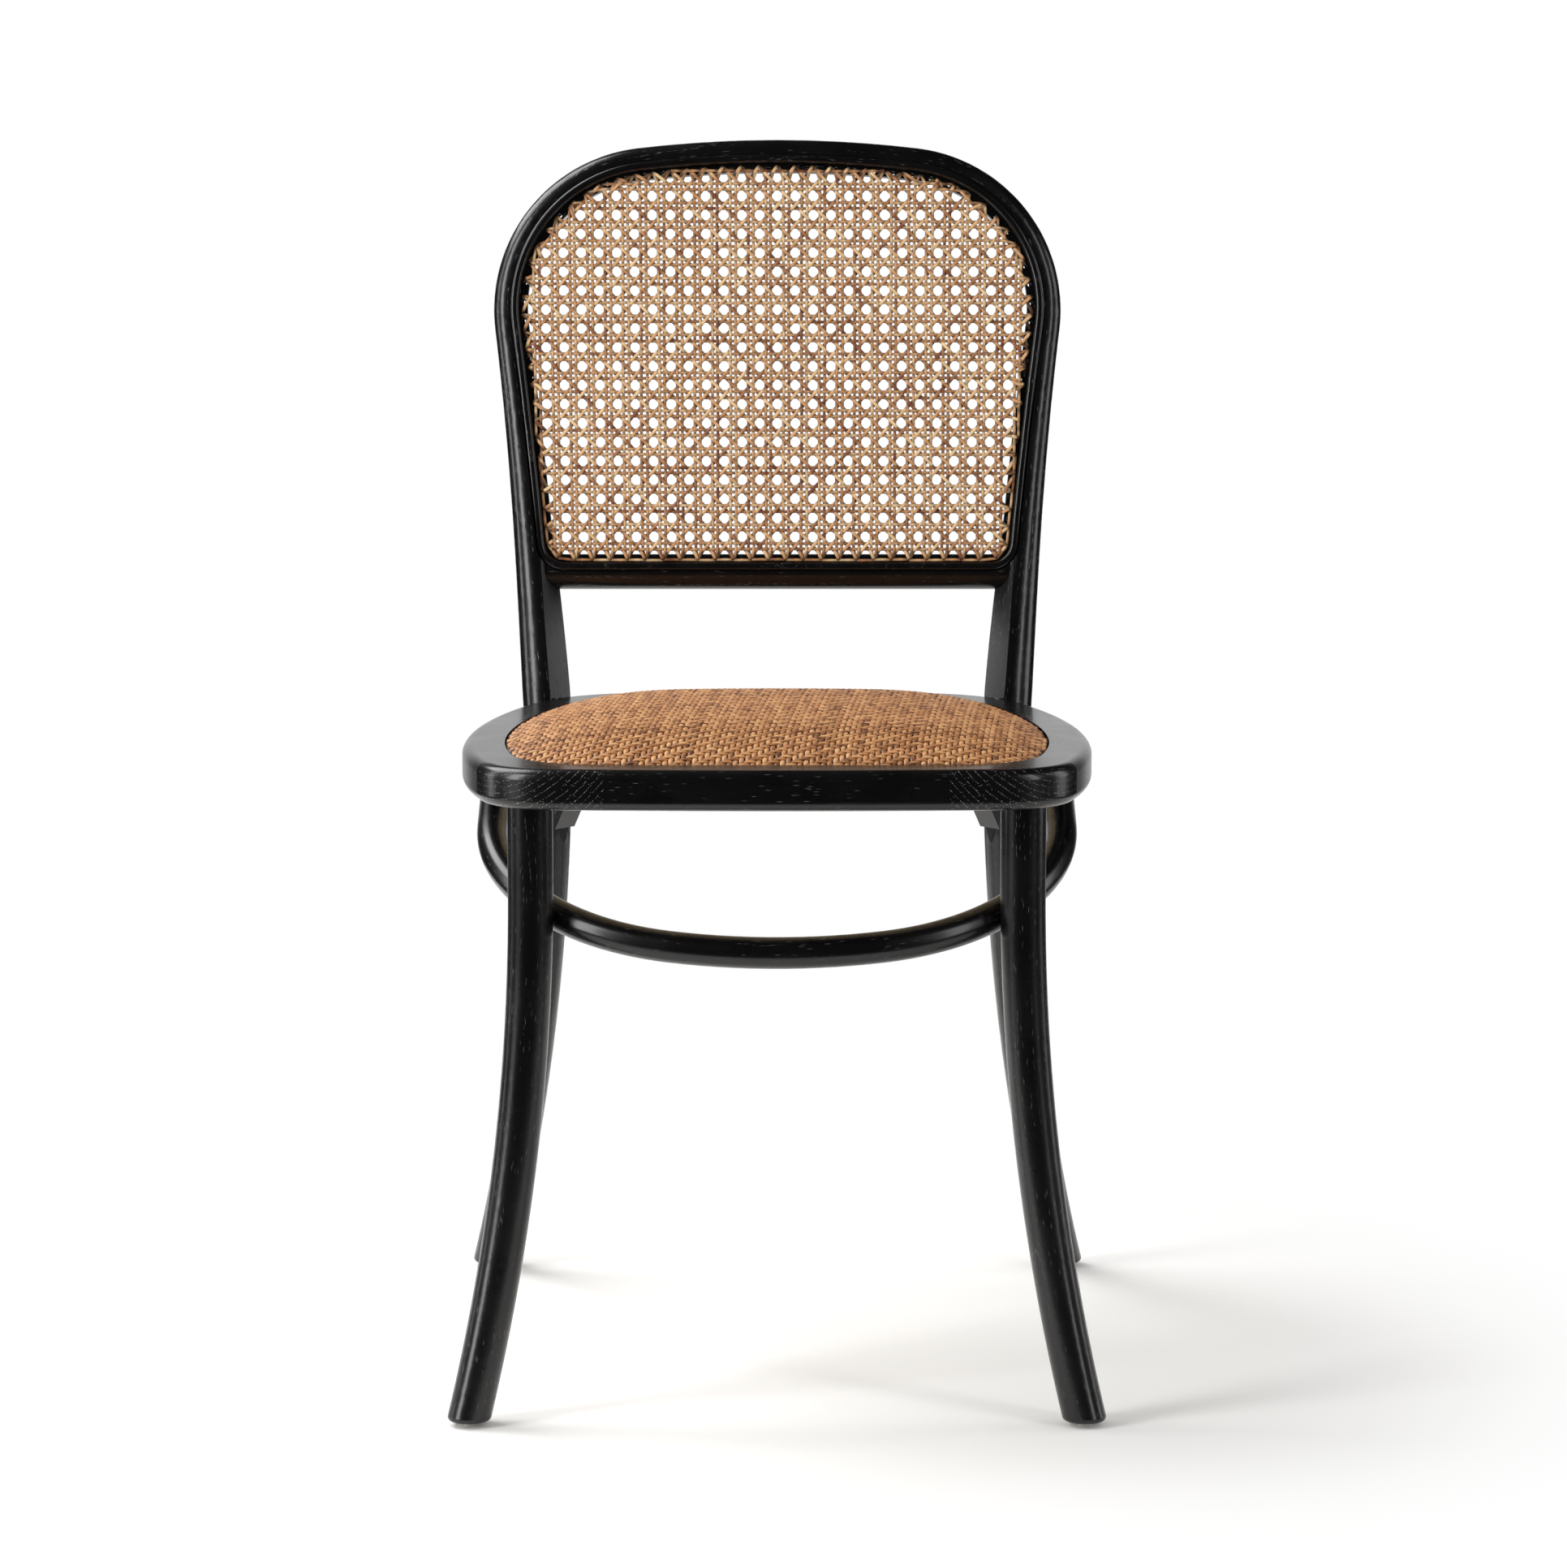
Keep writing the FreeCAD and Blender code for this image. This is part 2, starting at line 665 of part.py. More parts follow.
def seat_leg_hoop():
    """How far ahead of its ends the hoop's front lies when it touches the legs from inside."""
    wanted = (size("leg_hoop_dia") + size("leg_dia")) / 2 + size("touch_gap")
    near = size("leg_hoop_half_width")
    far = near + 2 * size("leg_dia")
    while touch_distance(far)[0] > wanted:
        far += size("touch_gap") + 1
    for _ in range(40):
        middle = (near + far) / 2
        if touch_distance(middle)[0] > wanted:
            near = middle
        else:
            far = middle
    return near


LEG_HOOP_FRONT = seat_leg_hoop()
LEG_HOOP_PLACE = leg_hoop_place(LEG_HOOP_FRONT)
_, HOOP_TOUCH, LEG_TOUCH = touch_distance(LEG_HOOP_FRONT)
TOUCH_AIM = unit(Vector(LEG_TOUCH.x - HOOP_TOUCH.x, LEG_TOUCH.y - HOOP_TOUCH.y, 0))


def leg_screw_seats():
    """Head seats and directions of the screws through the leg hoop into the front legs."""
    back = size("leg_screw_grip") - size("leg_hoop_dia") / 2
    seat = HOOP_TOUCH - TOUCH_AIM * back
    return [(seat, TOUCH_AIM), (mirrored(seat), mirrored(TOUCH_AIM))]


def ring_screw_seats():
    """Head seats of the screws up through the leg hoop's ends into the ring."""
    y = size("leg_hoop_end_y") - size("leg_hoop_dia")
    point = Vector(size("leg_hoop_half_width"), y, RING_BOTTOM - size("hoop_screw_grip"))
    return [point, mirrored(point)]


def bolt_axis(side):
    """Washer seat of a post bolt and its direction, from behind the post to the ring."""
    point, normal = POST_FLATS[side]
    post = dict(both_sides(REAR_TOP))[side]
    centre = Vector(post.x, post.y, RING_MID_Z)
    return centre + normal * size("bolt_seat"), normal * -1


def nut_place(side):
    point, normal = POST_FLATS[side]
    centre = Vector(point.x, point.y, 0) - normal * size("nut_inset")
    return aim(Vector(centre.x, centre.y, RING_MID_Z - size("nut_length") / 2), Vector(0, 0, 1))


# Seat ring rails

def make_ring():
    blank = make_ring_blank()
    front_corner = Vector(-size("front_joint_x"), 2 * size("ring_front_y"), 0)
    rear_corner = Vector(-size("rear_joint_x"), size("ring_widest_y") + size("ring_band"), 0)
    spans = [
        ("seat_front_rail", front_corner, "2 * front_joint_x", "ring_widest_y - 2 * ring_front_y"),
        ("seat_rear_rail", rear_corner, "2 * rear_joint_x", "ring_rear_y - ring_front_y"),
    ]
    regions = {}
    for label, corner, across, deep in spans:
        block = doc.addObject("Part::Box", label + "_region")
        bind(block, Length=across, Width=deep, Height="2 * seat_top")
        block.Placement.Base = corner
        regions[label] = block
    rails = {}
    for label, block in regions.items():
        rail = doc.addObject("Part::Common", label + "_blank")
        rail.Base = blank
        rail.Tool = block
        rails[label] = rail
    middle = fuse("middle_regions", list(regions.values()))
    for side in ("left", "right"):
        half = doc.addObject("Part::Box", side + "_half")
        bind(half, Length="2 * ring_half_width", Width="4 * ring_half_width", Height="2 * seat_top")
        left_edge = -2 * size("ring_half_width") if side == "left" else 0
        half.Placement.Base = Vector(left_edge, -2 * size("ring_half_width"), 0)
        region = cut(side + "_region", half, [middle])
        rail = doc.addObject("Part::Common", "seat_side_rail_%s_blank" % side)
        rail.Base = blank
        rail.Tool = region
        rails["seat_side_rail_" + side] = rail

    dowel_holes = [cylinder("dowel_hole_%d" % k, "dowel_dia / 2 + fit_gap", "dowel_length", place)
                   for k, place in enumerate(dowel_places())]
    screw_holes = []
    for k, seat in enumerate(board_screw_seats()):
        screw_holes += screw_hole("ring_board_screw_%d" % k, seat, Vector(0, 0, 1),
                                  "board_screw_length")
    tools = fuse("ring_holes", dowel_holes + screw_holes)
    for label in ("seat_front_rail", "seat_rear_rail"):
        node(cut(label, rails[label], [tools]), label)
    hoop_seats = dict(zip(("right", "left"), ring_screw_seats()))
    for side, leg in both_sides(FRONT_TOP):
        label = "seat_side_rail_" + side
        mortise = cylinder("leg_mortise_" + side, "leg_tenon_dia / 2 + fit_gap",
                           "leg_tenon_length + fit_gap", aim(leg, Vector(0, 0, 1)))
        flat, normal = POST_FLATS[side]
        notch = half_space("post_notch_" + side, flat, normal, 6 * size("post_dia"))
        seat, heading = bolt_axis(side)
        bore = cylinder("ring_bolt_hole_" + side, "bolt_dia / 2 + fit_gap",
                        "bolt_length + nut_dia / 2", aim(seat, heading))
        nut = nut_place(side)
        pit_start = Vector(nut.Base.x, nut.Base.y, RING_BOTTOM)
        pit = cylinder("nut_hole_" + side, "nut_dia / 2 + fit_gap",
                       "ring_thick / 2 + nut_length / 2 + fit_gap", aim(pit_start, Vector(0, 0, 1)))
        extra = screw_hole("ring_hoop_screw_" + side, hoop_seats[side], Vector(0, 0, 1),
                           "hoop_screw_length")
        node(cut(label, rails[label], [tools, mortise, notch, bore, pit] + extra), label)


def make_dowels():
    rods = []
    for k, place in enumerate(dowel_places()):
        rods.append(cylinder("dowel_%d" % k, "dowel_dia / 2", "dowel_length", place))
    node(group("ring_dowels", rods), "ring_dowels")


# Drop-in seat

SEAT_MIDDLE = (size("ring_front_y") + size("ring_rear_y")) / 2


def rim_reach():
    """Distance from the seat's middle to its rim in each of many directions, by angle."""
    reach = []
    for p in wire_of(mouth_ring(size("insert_gap"))).discretize(720):
        across, along = p.x, p.y - SEAT_MIDDLE
        reach.append((math.atan2(along, across), math.hypot(across, along)))
    reach.sort()
    turn = 2 * math.pi
    before, after = reach[-1], reach[0]
    return [(before[0] - turn, before[1])] + reach + [(after[0] + turn, after[1])]


RIM = rim_reach()


def crown_height(x, y):
    """Height of the crown over its rim level: flat in the middle, falling to zero at the rim."""
    angle = math.atan2(y, x)
    edge = RIM[0][1]
    for (low, near), (high, far) in zip(RIM, RIM[1:]):
        if low <= angle <= high:
            share = (angle - low) / (high - low) if high > low else 0
            edge = near + (far - near) * share
            break
    return size("crown_rise") * (1 - (math.hypot(x, y) / edge) ** size("crown_power"))


def crown_surface():
    """The crowned surface over a square that covers the seat."""
    half = size("ring_half_width") - size("ring_band") + size("ledge_width")
    steps = 12
    level = size("seat_top") - size("rim_drop")
    grid = []
    for i in range(-steps, steps + 1):
        row = []
        for j in range(-steps, steps + 1):
            x, y = half * i / steps, half * j / steps
            row.append(Vector(x, y + SEAT_MIDDLE, level + crown_height(x, y)))
        grid.append(row)
    surface = Part.BSplineSurface()
    surface.interpolate(grid)
    return surface.toShape()


CROWN = crown_surface()


def crown(name, inset, drop, base):
    """A crowned block: the seat's outline drawn in by inset, below a lowered crown surface."""
    body = new_body(name + "_block")
    body.Placement.Base = Vector(0, 0, base)
    outline = sketch_on(body, "XY_Plane", name + "_outline")
    draw(outline, mouth_ring(size("insert_gap") + inset))
    pad(body, outline, name + "_pad", "2 * crown_rise + ring_thick")
    deep = 4 * (size("crown_rise") + size("ring_thick"))
    under = plain(name + "_under", CROWN.extrude(Vector(0, 0, -deep)))
    under.Placement.Base = Vector(0, 0, -drop)
    capped = doc.addObject("Part::Common", name + "_capped")
    capped.Base = body
    capped.Tool = under
    return capped


BOARD_TOP = LEDGE_TOP + size("board_thick")


def make_seat():
    board = new_body("board_body")
    bind(board, **{"Placement.Base.z": "seat_top - ring_thick + ledge_thick"})
    outline = sketch_on(board, "XY_Plane", "board_outline")
    draw(outline, mouth_ring(size("insert_gap")))
    pad(board, outline, "board_pad", "board_thick")
    holes = []
    for k, seat in enumerate(board_screw_seats()):
        holes += screw_hole("board_screw_hole_%d" % k, seat, Vector(0, 0, 1), "board_screw_length")
    node(cut("seat_board", board, holes), "seat_board")
    outer = crown("skin_outer", 0, 0, BOARD_TOP)
    inner = crown("skin_inner", size("skin_thick"), size("skin_thick"), BOARD_TOP)
    node(cut("seat_weave", outer, [inner]), "seat_weave")
    inset = size("skin_thick") + size("pad_gap")
    foam = crown("foam", inset, inset, BOARD_TOP)
    node(foam, "seat_pad")


# Front legs

def make_front_legs():
    out = Vector(FRONT_FOOT.x - FRONT_TOP.x, FRONT_FOOT.y - FRONT_TOP.y, 0)
    heading = math.degrees(math.atan2(out.y, out.x))
    local_top = Vector(0, 0, 0)
    local_foot = Vector(out.Length, 0, FOOT_Z - RING_BOTTOM)
    knee, mid, end, radius = leg_path(local_top, local_foot, size("front_leg_plumb"), FOOT_RUNOUT)
    turn_down = math.asin((knee.z - end.z) / radius)
    screws = dict(zip(("right", "left"), leg_screw_seats()))
    for side, top in both_sides(FRONT_TOP):
        turn = heading if side == "right" else 180 - heading
        label = "front_leg_" + side
        body = new_body(label + "_body")
        body.Placement = Placement(top, Rotation(Vector(0, 0, 1), turn))
        section = sketch_on(body, "XY_Plane", label + "_section")
        draw_circle(section, 0, 0, "leg_dia")
        last = sketch_on(body, "XY_Plane", label + "_last_section")
        draw_circle(last, 0, 0, "foot_dia")
        last.AttachmentOffset = Placement(end, Rotation(Vector(0, 1, 0), -math.degrees(turn_down)))
        spine = sketch_on(body, "XZ_Plane", label + "_spine")
        line = Part.LineSegment(Vector(0, 0, 0), Vector(0, knee.z, 0))
        bend = Part.Arc(Vector(0, knee.z, 0), Vector(mid.x, mid.z, 0), Vector(end.x, end.z, 0))
        spine.addGeometry(line, False)
        spine.addGeometry(bend, False)
        rod = body.newObject("PartDesign::AdditivePipe", label + "_rod")
        rod.Profile = section
        rod.Spine = spine
        rod.Transformation = "Multisection"
        rod.Sections = [(last, [""])]
        body.Tip = rod
        peg = sketch_on(body, "XY_Plane", label + "_peg")
        draw_circle(peg, 0, 0, "leg_tenon_dia")
        pad(body, peg, label + "_tenon", "leg_tenon_length")
        sole = half_space(label + "_sole", Vector(top.x, top.y, FOOT_Z), Vector(0, 0, -1),
                          4 * size("front_foot_x"))
        foot = mirrored(FRONT_FOOT) if side == "left" else FRONT_FOOT
        seat, direction = screws[side]
        holes = screw_hole(label + "_screw", seat, direction, "leg_screw_length")
        stock = round_foot(label + "_rounded", cut(label + "_cut_off", body, [sole]))
        node(cut(label, stock, [glide_hole(label, foot)] + holes), label)


# Back hoop with the rear legs, one bent rod from foot to foot

def sweep(edges, stations, normal, swell):
    """A tapering round rod along edges that lie in one plane with that normal.

    stations holds (edge number, 0 or 1 for its start or end, diameter there).
    """
    shell = Part.BRepOffsetAPI.MakePipeShell(Part.Wire(edges))
    shell.setFrenetMode(False)
    for number, end, diameter in stations:
        edge = edges[number]
        at = edge.LastParameter if end else edge.FirstParameter
        ahead = unit(edge.tangentAt(at))
        ring = Part.makeCircle(diameter / 2 + swell)
        turn = Rotation(normal, ahead.cross(normal), ahead, "ZXY")
        ring.Placement = Placement(edge.valueAt(at), turn)
        shell.add(Part.Wire([ring]))
    shell.build()
    shell.makeSolid()
    return shell.shape()


def upper_hoop(swell):
    """The hoop above the seat bends, all in the plane of the back."""
    low, high = shoulder_ends(0)
    rail = side_at(size("rail_reach"), 0)
    top = Vector(0, size("hoop_reach"), 0)
    half = [
        (C_SIDE, HOOP_START, rail),
        (C_SIDE, rail, low),
        (C_SHOULDER, low, high),
        (C_CROWN, high, top),
    ]
    left = [(mirrored(c), mirrored(a), mirrored(b)) for c, a, b in half]
    right = [(c, b, a) for c, a, b in reversed(half)]
    edges = []
    for centre, start, end in left + right:
        radius = (start - centre).Length
        middle = centre + unit((start - centre) + (end - centre)) * radius
        edges.append(Part.Arc(on_back(start), on_back(middle), on_back(end)).toShape())
    post, rail_dia = size("post_dia"), size("post_rail_dia")
    side_dia, top_dia = size("hoop_side_dia"), size("hoop_top_dia")
    stations = [(0, 0, post), (1, 0, rail_dia), (2, 0, side_dia), (4, 0, top_dia),
                (6, 0, side_dia), (7, 0, rail_dia), (7, 1, post)]
    return sweep(edges, stations, FRONT, swell)


def seat_bend(swell):
    """The right post's short bend at the seat, where the upright leg turns into the back."""
    low = REAR_TOP - Vector(0, 0, BEND_TANGENT)
    high = REAR_TOP + POST_UP * BEND_TANGENT
    across = unit(Vector(POST_UP.x, POST_UP.y, 0))
    centre = low + across * size("seat_bend_rad")
    middle = centre + unit((low - centre) + (high - centre)) * size("seat_bend_rad")
    edge = Part.Arc(low, middle, high).toShape()
    normal = Vector(-across.y, across.x, 0)
    return sweep([edge], [(0, 0, size("post_dia")), (0, 1, size("post_dia"))], normal, swell)


def rear_leg(swell):
    """The right rear leg from below the seat bend to past its foot, in one upright plane."""
    knee, mid, end, _ = leg_path(REAR_TOP, REAR_FOOT, REAR_PLUMB, FOOT_RUNOUT)
    start = REAR_TOP - Vector(0, 0, BEND_TANGENT)
    out = unit(Vector(REAR_FOOT.x - REAR_TOP.x, REAR_FOOT.y - REAR_TOP.y, 0))
    edges = [Part.LineSegment(start, knee).toShape(), Part.Arc(knee, mid, end).toShape()]
    normal = Vector(-out.y, out.x, 0)
    return sweep(edges, [(0, 0, size("post_dia")), (1, 1, size("rear_foot_dia"))], normal, swell)


def hoop_rod(swell):
    """The whole rod, swollen by a clearance."""
    right = [seat_bend(swell), rear_leg(swell)]
    left = [piece.mirror(Vector(0, 0, 0), Vector(1, 0, 0)) for piece in right]
    return upper_hoop(swell).fuse(right + left)


def frame_rebate():
    """The space that the cane frame takes out of the hoop and the rail."""
    face = Part.Face(wire_of(frame_curves(-size("seat_gap"))))
    rebate = plain("frame_rebate", face.extrude(Vector(0, 0, 2 * size("post_dia"))))
    rebate.Placement = Placement(BACK_ORIGIN + FRONT * size("rebate_floor"), BACK_PLACE.Rotation)
    return rebate


def post_facet(name, side, back):
    """Cutter for the flat on a post's inner front, from the ring up to the rail, moved out by back."""
    flat, normal = POST_FLATS[side]
    up = POST_UP if side == "right" else mirrored(POST_UP)
    rail = side_at(size("rail_reach"), 0)
    rail = on_back(rail if side == "right" else mirrored(rail))
    across = unit(normal - up * normal.dot(up))
    depth = size("post_flat") * size("post_rail_dia") / size("post_dia")
    low = flat
    high = rail - across * (size("post_rail_dia") / 2 - depth)
    along = unit(high - low)
    face_normal = unit((across - along * across.dot(along)) * -1)
    third = unit(along.cross(face_normal))
    turn = Rotation(face_normal, third, along, "ZXY")
    block = doc.addObject("Part::Box", name + "_" + side)
    bind(block, Length="post_dia", Width="2 * post_dia", Height="rail_reach")
    start = low + face_normal * back - third * size("post_dia") + along * (size("ring_thick") / 2)
    block.Placement = Placement(start, turn)
    return block


def seat_flat(side):
    """Cutter for the upright flat that the ring is bolted against."""
    flat, normal = POST_FLATS[side]
    third = unit(Vector(0, 0, 1).cross(normal * -1))
    block = doc.addObject("Part::Box", "seat_flat_" + side)
    bind(block, Length="post_dia", Width="2 * post_dia", Height="ring_thick + 2 * block_drop")
    turn = Rotation(normal * -1, third, Vector(0, 0, 1), "ZXY")
    low = Vector(flat.x, flat.y, RING_BOTTOM - 2 * size("block_drop"))
    block.Placement = Placement(low - third * size("post_dia"), turn)
    return block


RAIL_TENON_END = side_at(size("rail_reach"), 0).x


def frame_screw_seats():
    """Head seats of the screws from behind into the cane frame's bead."""
    inset = size("frame_inset") + size("bead_width") / 2
    low, high = shoulder_ends(inset)
    sides = [side_at(low.y - (low.y - size("rail_reach")) * share, inset) for share in (0.1, 0.65)]
    crown_x = size("front_joint_x") / 2
    crown_r = size("crown_bow_rad") - inset
    crown_y = C_CROWN.y + math.sqrt(crown_r ** 2 - crown_x ** 2)
    rail = Vector(size("rear_joint_x"), size("rail_reach") + size("bead_width") / 2, 0)
    points = sides + [Vector(crown_x, crown_y, 0), rail]
    depth = size("rebate_floor") - size("frame_screw_grip")
    return [on_back(p, depth) for point in points for p in (point, mirrored(point))]


def frame_screw_holes(name):
    holes = []
    for k, seat in enumerate(frame_screw_seats()):
        holes += screw_hole("%s_%d" % (name, k), seat, FRONT, "frame_screw_length", size("post_dia"))
    return holes


def make_back_hoop():
    soles = [half_space("rear_sole_" + side, foot, Vector(0, 0, -1), 2 * size("post_dia"))
             for side, foot in both_sides(REAR_FOOT)]
    rod = round_foot("hoop_rounded", cut("hoop_cut_off", plain("hoop_rod", hoop_rod(0)), soles))
    tools = [frame_rebate()]
    for side, foot in both_sides(REAR_FOOT):
        tools.append(glide_hole("rear_leg_" + side, foot))
        tools.append(post_facet("facet", side, 0))
        tools.append(seat_flat(side))
        seat, heading = bolt_axis(side)
        tools.append(cylinder("post_bolt_hole_" + side, "bolt_dia / 2 + fit_gap", "bolt_length",
                              aim(seat, heading)))
        tools.append(cylinder("post_bolt_pit_" + side, "washer_dia / 2 + fit_gap", "post_dia",
                              aim(seat - heading * size("post_dia"), heading)))
    tenon_start = on_back(Vector(-RAIL_TENON_END, size("rail_reach"), 0))
    mortise = cylinder("rail_mortise", "rail_tenon_dia / 2 + fit_gap", 2 * RAIL_TENON_END,
                       aim(tenon_start, Vector(1, 0, 0)))
    node(cut("back_hoop", rod, tools + [mortise] + frame_screw_holes("hoop_screw")), "back_hoop")


def make_lower_rail():
    start = on_back(Vector(-RAIL_TENON_END, size("rail_reach"), 0))
    stock = cylinder("rail_stock", "rail_dia / 2", 2 * RAIL_TENON_END, aim(start, Vector(1, 0, 0)))
    facets = [post_facet("cope_facet", side, size("cope_gap")) for side in ("left", "right")]
    posts = cut("cope_posts", plain("cope_shape", upper_hoop(size("cope_gap"))), facets)
    coped = cut("rail_coped", stock, [posts])
    tenon_start = start + Vector(size("touch_gap"), 0, 0)
    tenon = cylinder("rail_tenon", "rail_tenon_dia / 2", 2 * (RAIL_TENON_END - size("touch_gap")),
                     aim(tenon_start, Vector(1, 0, 0)))
    body = fuse("rail_body", [coped, tenon])
    tools = [frame_rebate()] + frame_screw_holes("rail_screw")
    node(cut("lower_back_rail", body, tools), "lower_back_rail")


# Cane frame and cane

def rim_hole_points():
    """Centres of the lip's holes, spread evenly along its middle."""
    line = wire_of(frame_curves(size("bead_width") + size("lip_width") / 2))
    count = int(line.Length / size("rim_hole_pitch"))
    return line.discretize(count + 1)[:-1]


def make_cane_frame():
    body = new_body("cane_frame_body")
    floor = FRONT * size("rebate_floor")
    body.Placement = Placement(BACK_ORIGIN + floor, BACK_PLACE.Rotation)
    outline = sketch_on(body, "XY_Plane", "frame_outline")
    draw(outline, frame_curves(0))
    draw(outline, frame_curves(size("bead_width") + size("lip_width")))
    pad(body, outline, "frame_pad", "frame_depth")
    seat = sketch_on(body, "XY_Plane", "frame_seat", "frame_depth")
    draw(seat, frame_curves(size("bead_width")))
    pocket(body, seat, "frame_step", "frame_depth - lip_depth")

    def bead_edge(edge):
        box = edge.BoundBox
        return abs(box.ZMin - size("frame_depth")) < 1e-6 and box.ZLength < 1e-6

    round_edges(body, "frame_bead_round", "bead_round", bead_edge)
    drill = [Part.makeCylinder(size("rim_hole_dia") / 2, 2 * size("lip_depth"),
                               Vector(p.x, p.y, -size("lip_depth") / 2))
             for p in rim_hole_points()]
    holes = plain("rim_holes", Part.makeCompound(drill))
    holes.Placement = body.Placement
    node(cut("cane_frame", body, [holes] + frame_screw_holes("frame_screw")), "cane_frame")


def make_back_cane():
    """The caned panel: one flat face with its holes, given its thickness."""
    outer = wire_of(frame_curves(size("bead_width") + size("seat_gap")))
    clear = Part.Face(wire_of(frame_curves(size("bead_width") + size("lip_width")
                                           + size("cane_hole_dia") / 2)))
    pitch_x, pitch_y = size("cane_pitch_x"), size("cane_pitch_y")
    box = clear.BoundBox
    columns = int(box.XMax / pitch_x)
    middle = (box.YMin + box.YMax) / 2
    rows = int(box.YLength / 2 / pitch_y)
    wires = [outer]
    for column in range(-columns, columns + 1):
        for row in range(-rows, rows + 1):
            centre = Vector(column * pitch_x, middle + row * pitch_y, 0)
            if clear.isInside(centre, 1e-6, True):
                hole = Part.Circle(centre, Vector(0, 0, 1), size("cane_hole_dia") / 2)
                wires.append(Part.Wire([hole.toShape()]))
    print("holes in the cane net:", len(wires) - 1)
    face = Part.Face(wires)
    face.validate()
    net = plain("back_cane", face.extrude(Vector(0, 0, size("cane_thick"))))
    lift = FRONT * (size("rebate_floor") + size("lip_depth"))
    net.Placement = Placement(BACK_ORIGIN + lift, BACK_PLACE.Rotation)
    node(net, "back_cane")


# Bent hoop between the legs

def make_leg_hoop():
    c_front, c_corner, front_end, side_start = leg_hoop_half()
    end_y = LEG_HOOP_FRONT + size("leg_hoop_tail")
    end = Vector(size("leg_hoop_half_width"), end_y, 0)
    body = new_body("leg_hoop_body")
    body.Placement = LEG_HOOP_PLACE
    spine = sketch_on(body, "XY_Plane", "leg_hoop_spine")
    curves = [
        Part.LineSegment(mirrored(end), mirrored(side_start)),
        arc_about(mirrored(c_corner), mirrored(side_start), mirrored(front_end)),
        arc_about(c_front, mirrored(front_end), front_end),
        arc_about(c_corner, front_end, side_start),
        Part.LineSegment(side_start, end),
    ]
    for curve in curves:
        spine.addGeometry(curve, False)
    section = sketch_on(body, "XZ_Plane", "leg_hoop_section")
    section.AttachmentOffset = Placement(Vector(0, 0, -end_y), Rotation())
    draw_circle(section, -size("leg_hoop_half_width"), 0, "leg_hoop_dia")
    rod = body.newObject("PartDesign::AdditivePipe", "leg_hoop_rod")
    rod.Profile = section
    rod.Spine = spine
    body.Tip = rod
    flush = half_space("leg_hoop_flush", Vector(0, 0, RING_BOTTOM), Vector(0, 0, 1),
                       4 * size("ring_half_width"))
    tools = [flush]
    for k, (seat, direction) in enumerate(leg_screw_seats()):
        tools += screw_hole("leg_hoop_screw_%d" % k, seat, direction, "leg_screw_length",
                            size("leg_hoop_dia"))
    for k, seat in enumerate(ring_screw_seats()):
        tools += screw_hole("leg_hoop_end_screw_%d" % k, seat, Vector(0, 0, 1),
                            "hoop_screw_length", size("leg_hoop_dia"))
    node(cut("leg_hoop", body, tools), "leg_hoop")


# Corner blocks, glued between the rear legs and the ring

def make_corner_blocks():
    for side in ("left", "right"):
        flat, normal = POST_FLATS[side]
        label = "corner_block_" + side
        body = new_body(label + "_body")
        third = unit(Vector(0, 0, 1).cross(normal * -1))
        turn = Rotation(normal * -1, third, Vector(0, 0, 1), "ZXY")
        start = Vector(flat.x, flat.y, RING_BOTTOM) - third * (size("block_width") / 2)
        body.Placement = Placement(start, turn)
        profile = sketch_on(body, "XZ_Plane", label + "_profile")
        top, drop, nose = size("block_top"), size("block_drop"), size("block_nose")
        corners = [Vector(0, 0, 0), Vector(top, 0, 0), Vector(top, -nose, 0),
                   Vector(nose, -drop, 0), Vector(0, -drop, 0)]
        lines = [Part.LineSegment(a, b) for a, b in zip(corners, corners[1:] + corners[:1])]
        draw(profile, lines)
        pad(body, profile, label + "_pad", "block_width", back=True)
        node(body, label)


# Floor glides

def glide_places():
    return [Vector(sign * p.x, p.y, 0) for p in (FRONT_FOOT, REAR_FOOT) for sign in (-1, 1)]


def glide_hole(name, foot):
    """The nail's hole, up into a foot."""
    return cylinder(name + "_nail_hole", "glide_pin_dia / 2 + fit_gap", "glide_pin_length + fit_gap",
                    aim(Vector(foot.x, foot.y, FOOT_Z), Vector(0, 0, 1)))


def make_glides():
    glides = []
    for k, place in enumerate(glide_places()):
        body = new_body("glide_%d_body" % k)
        body.Placement.Base = place
        profile = sketch_on(body, "XZ_Plane", "glide_%d_profile" % k)
        edge = size("glide_dia") / 2
        sole = size("glide_sole_dia") / 2
        pin = size("glide_pin_dia") / 2
        high = size("glide_height")
        tip = high + size("glide_pin_length")
        bulge = Vector((edge + sole) / 2 + high / 5, high / 3, 0)
        curves = [
            Part.LineSegment(Vector(0, 0, 0), Vector(sole, 0, 0)),
            Part.Arc(Vector(sole, 0, 0), bulge, Vector(edge, high, 0)),
            Part.LineSegment(Vector(edge, high, 0), Vector(pin, high, 0)),
            Part.LineSegment(Vector(pin, high, 0), Vector(pin, tip, 0)),
            Part.LineSegment(Vector(pin, tip, 0), Vector(0, tip, 0)),
            Part.LineSegment(Vector(0, tip, 0), Vector(0, 0, 0)),
        ]
        draw(profile, curves)
        turned = body.newObject("PartDesign::Revolution", "glide_%d_turned" % k)
        turned.Profile = profile
        turned.ReferenceAxis = (profile, ["V_Axis"])
        turned.Angle = 360
        body.Tip = turned
        glides.append(body)
    node(group("floor_glides", glides), "floor_glides")


# Screws, bolts and nuts

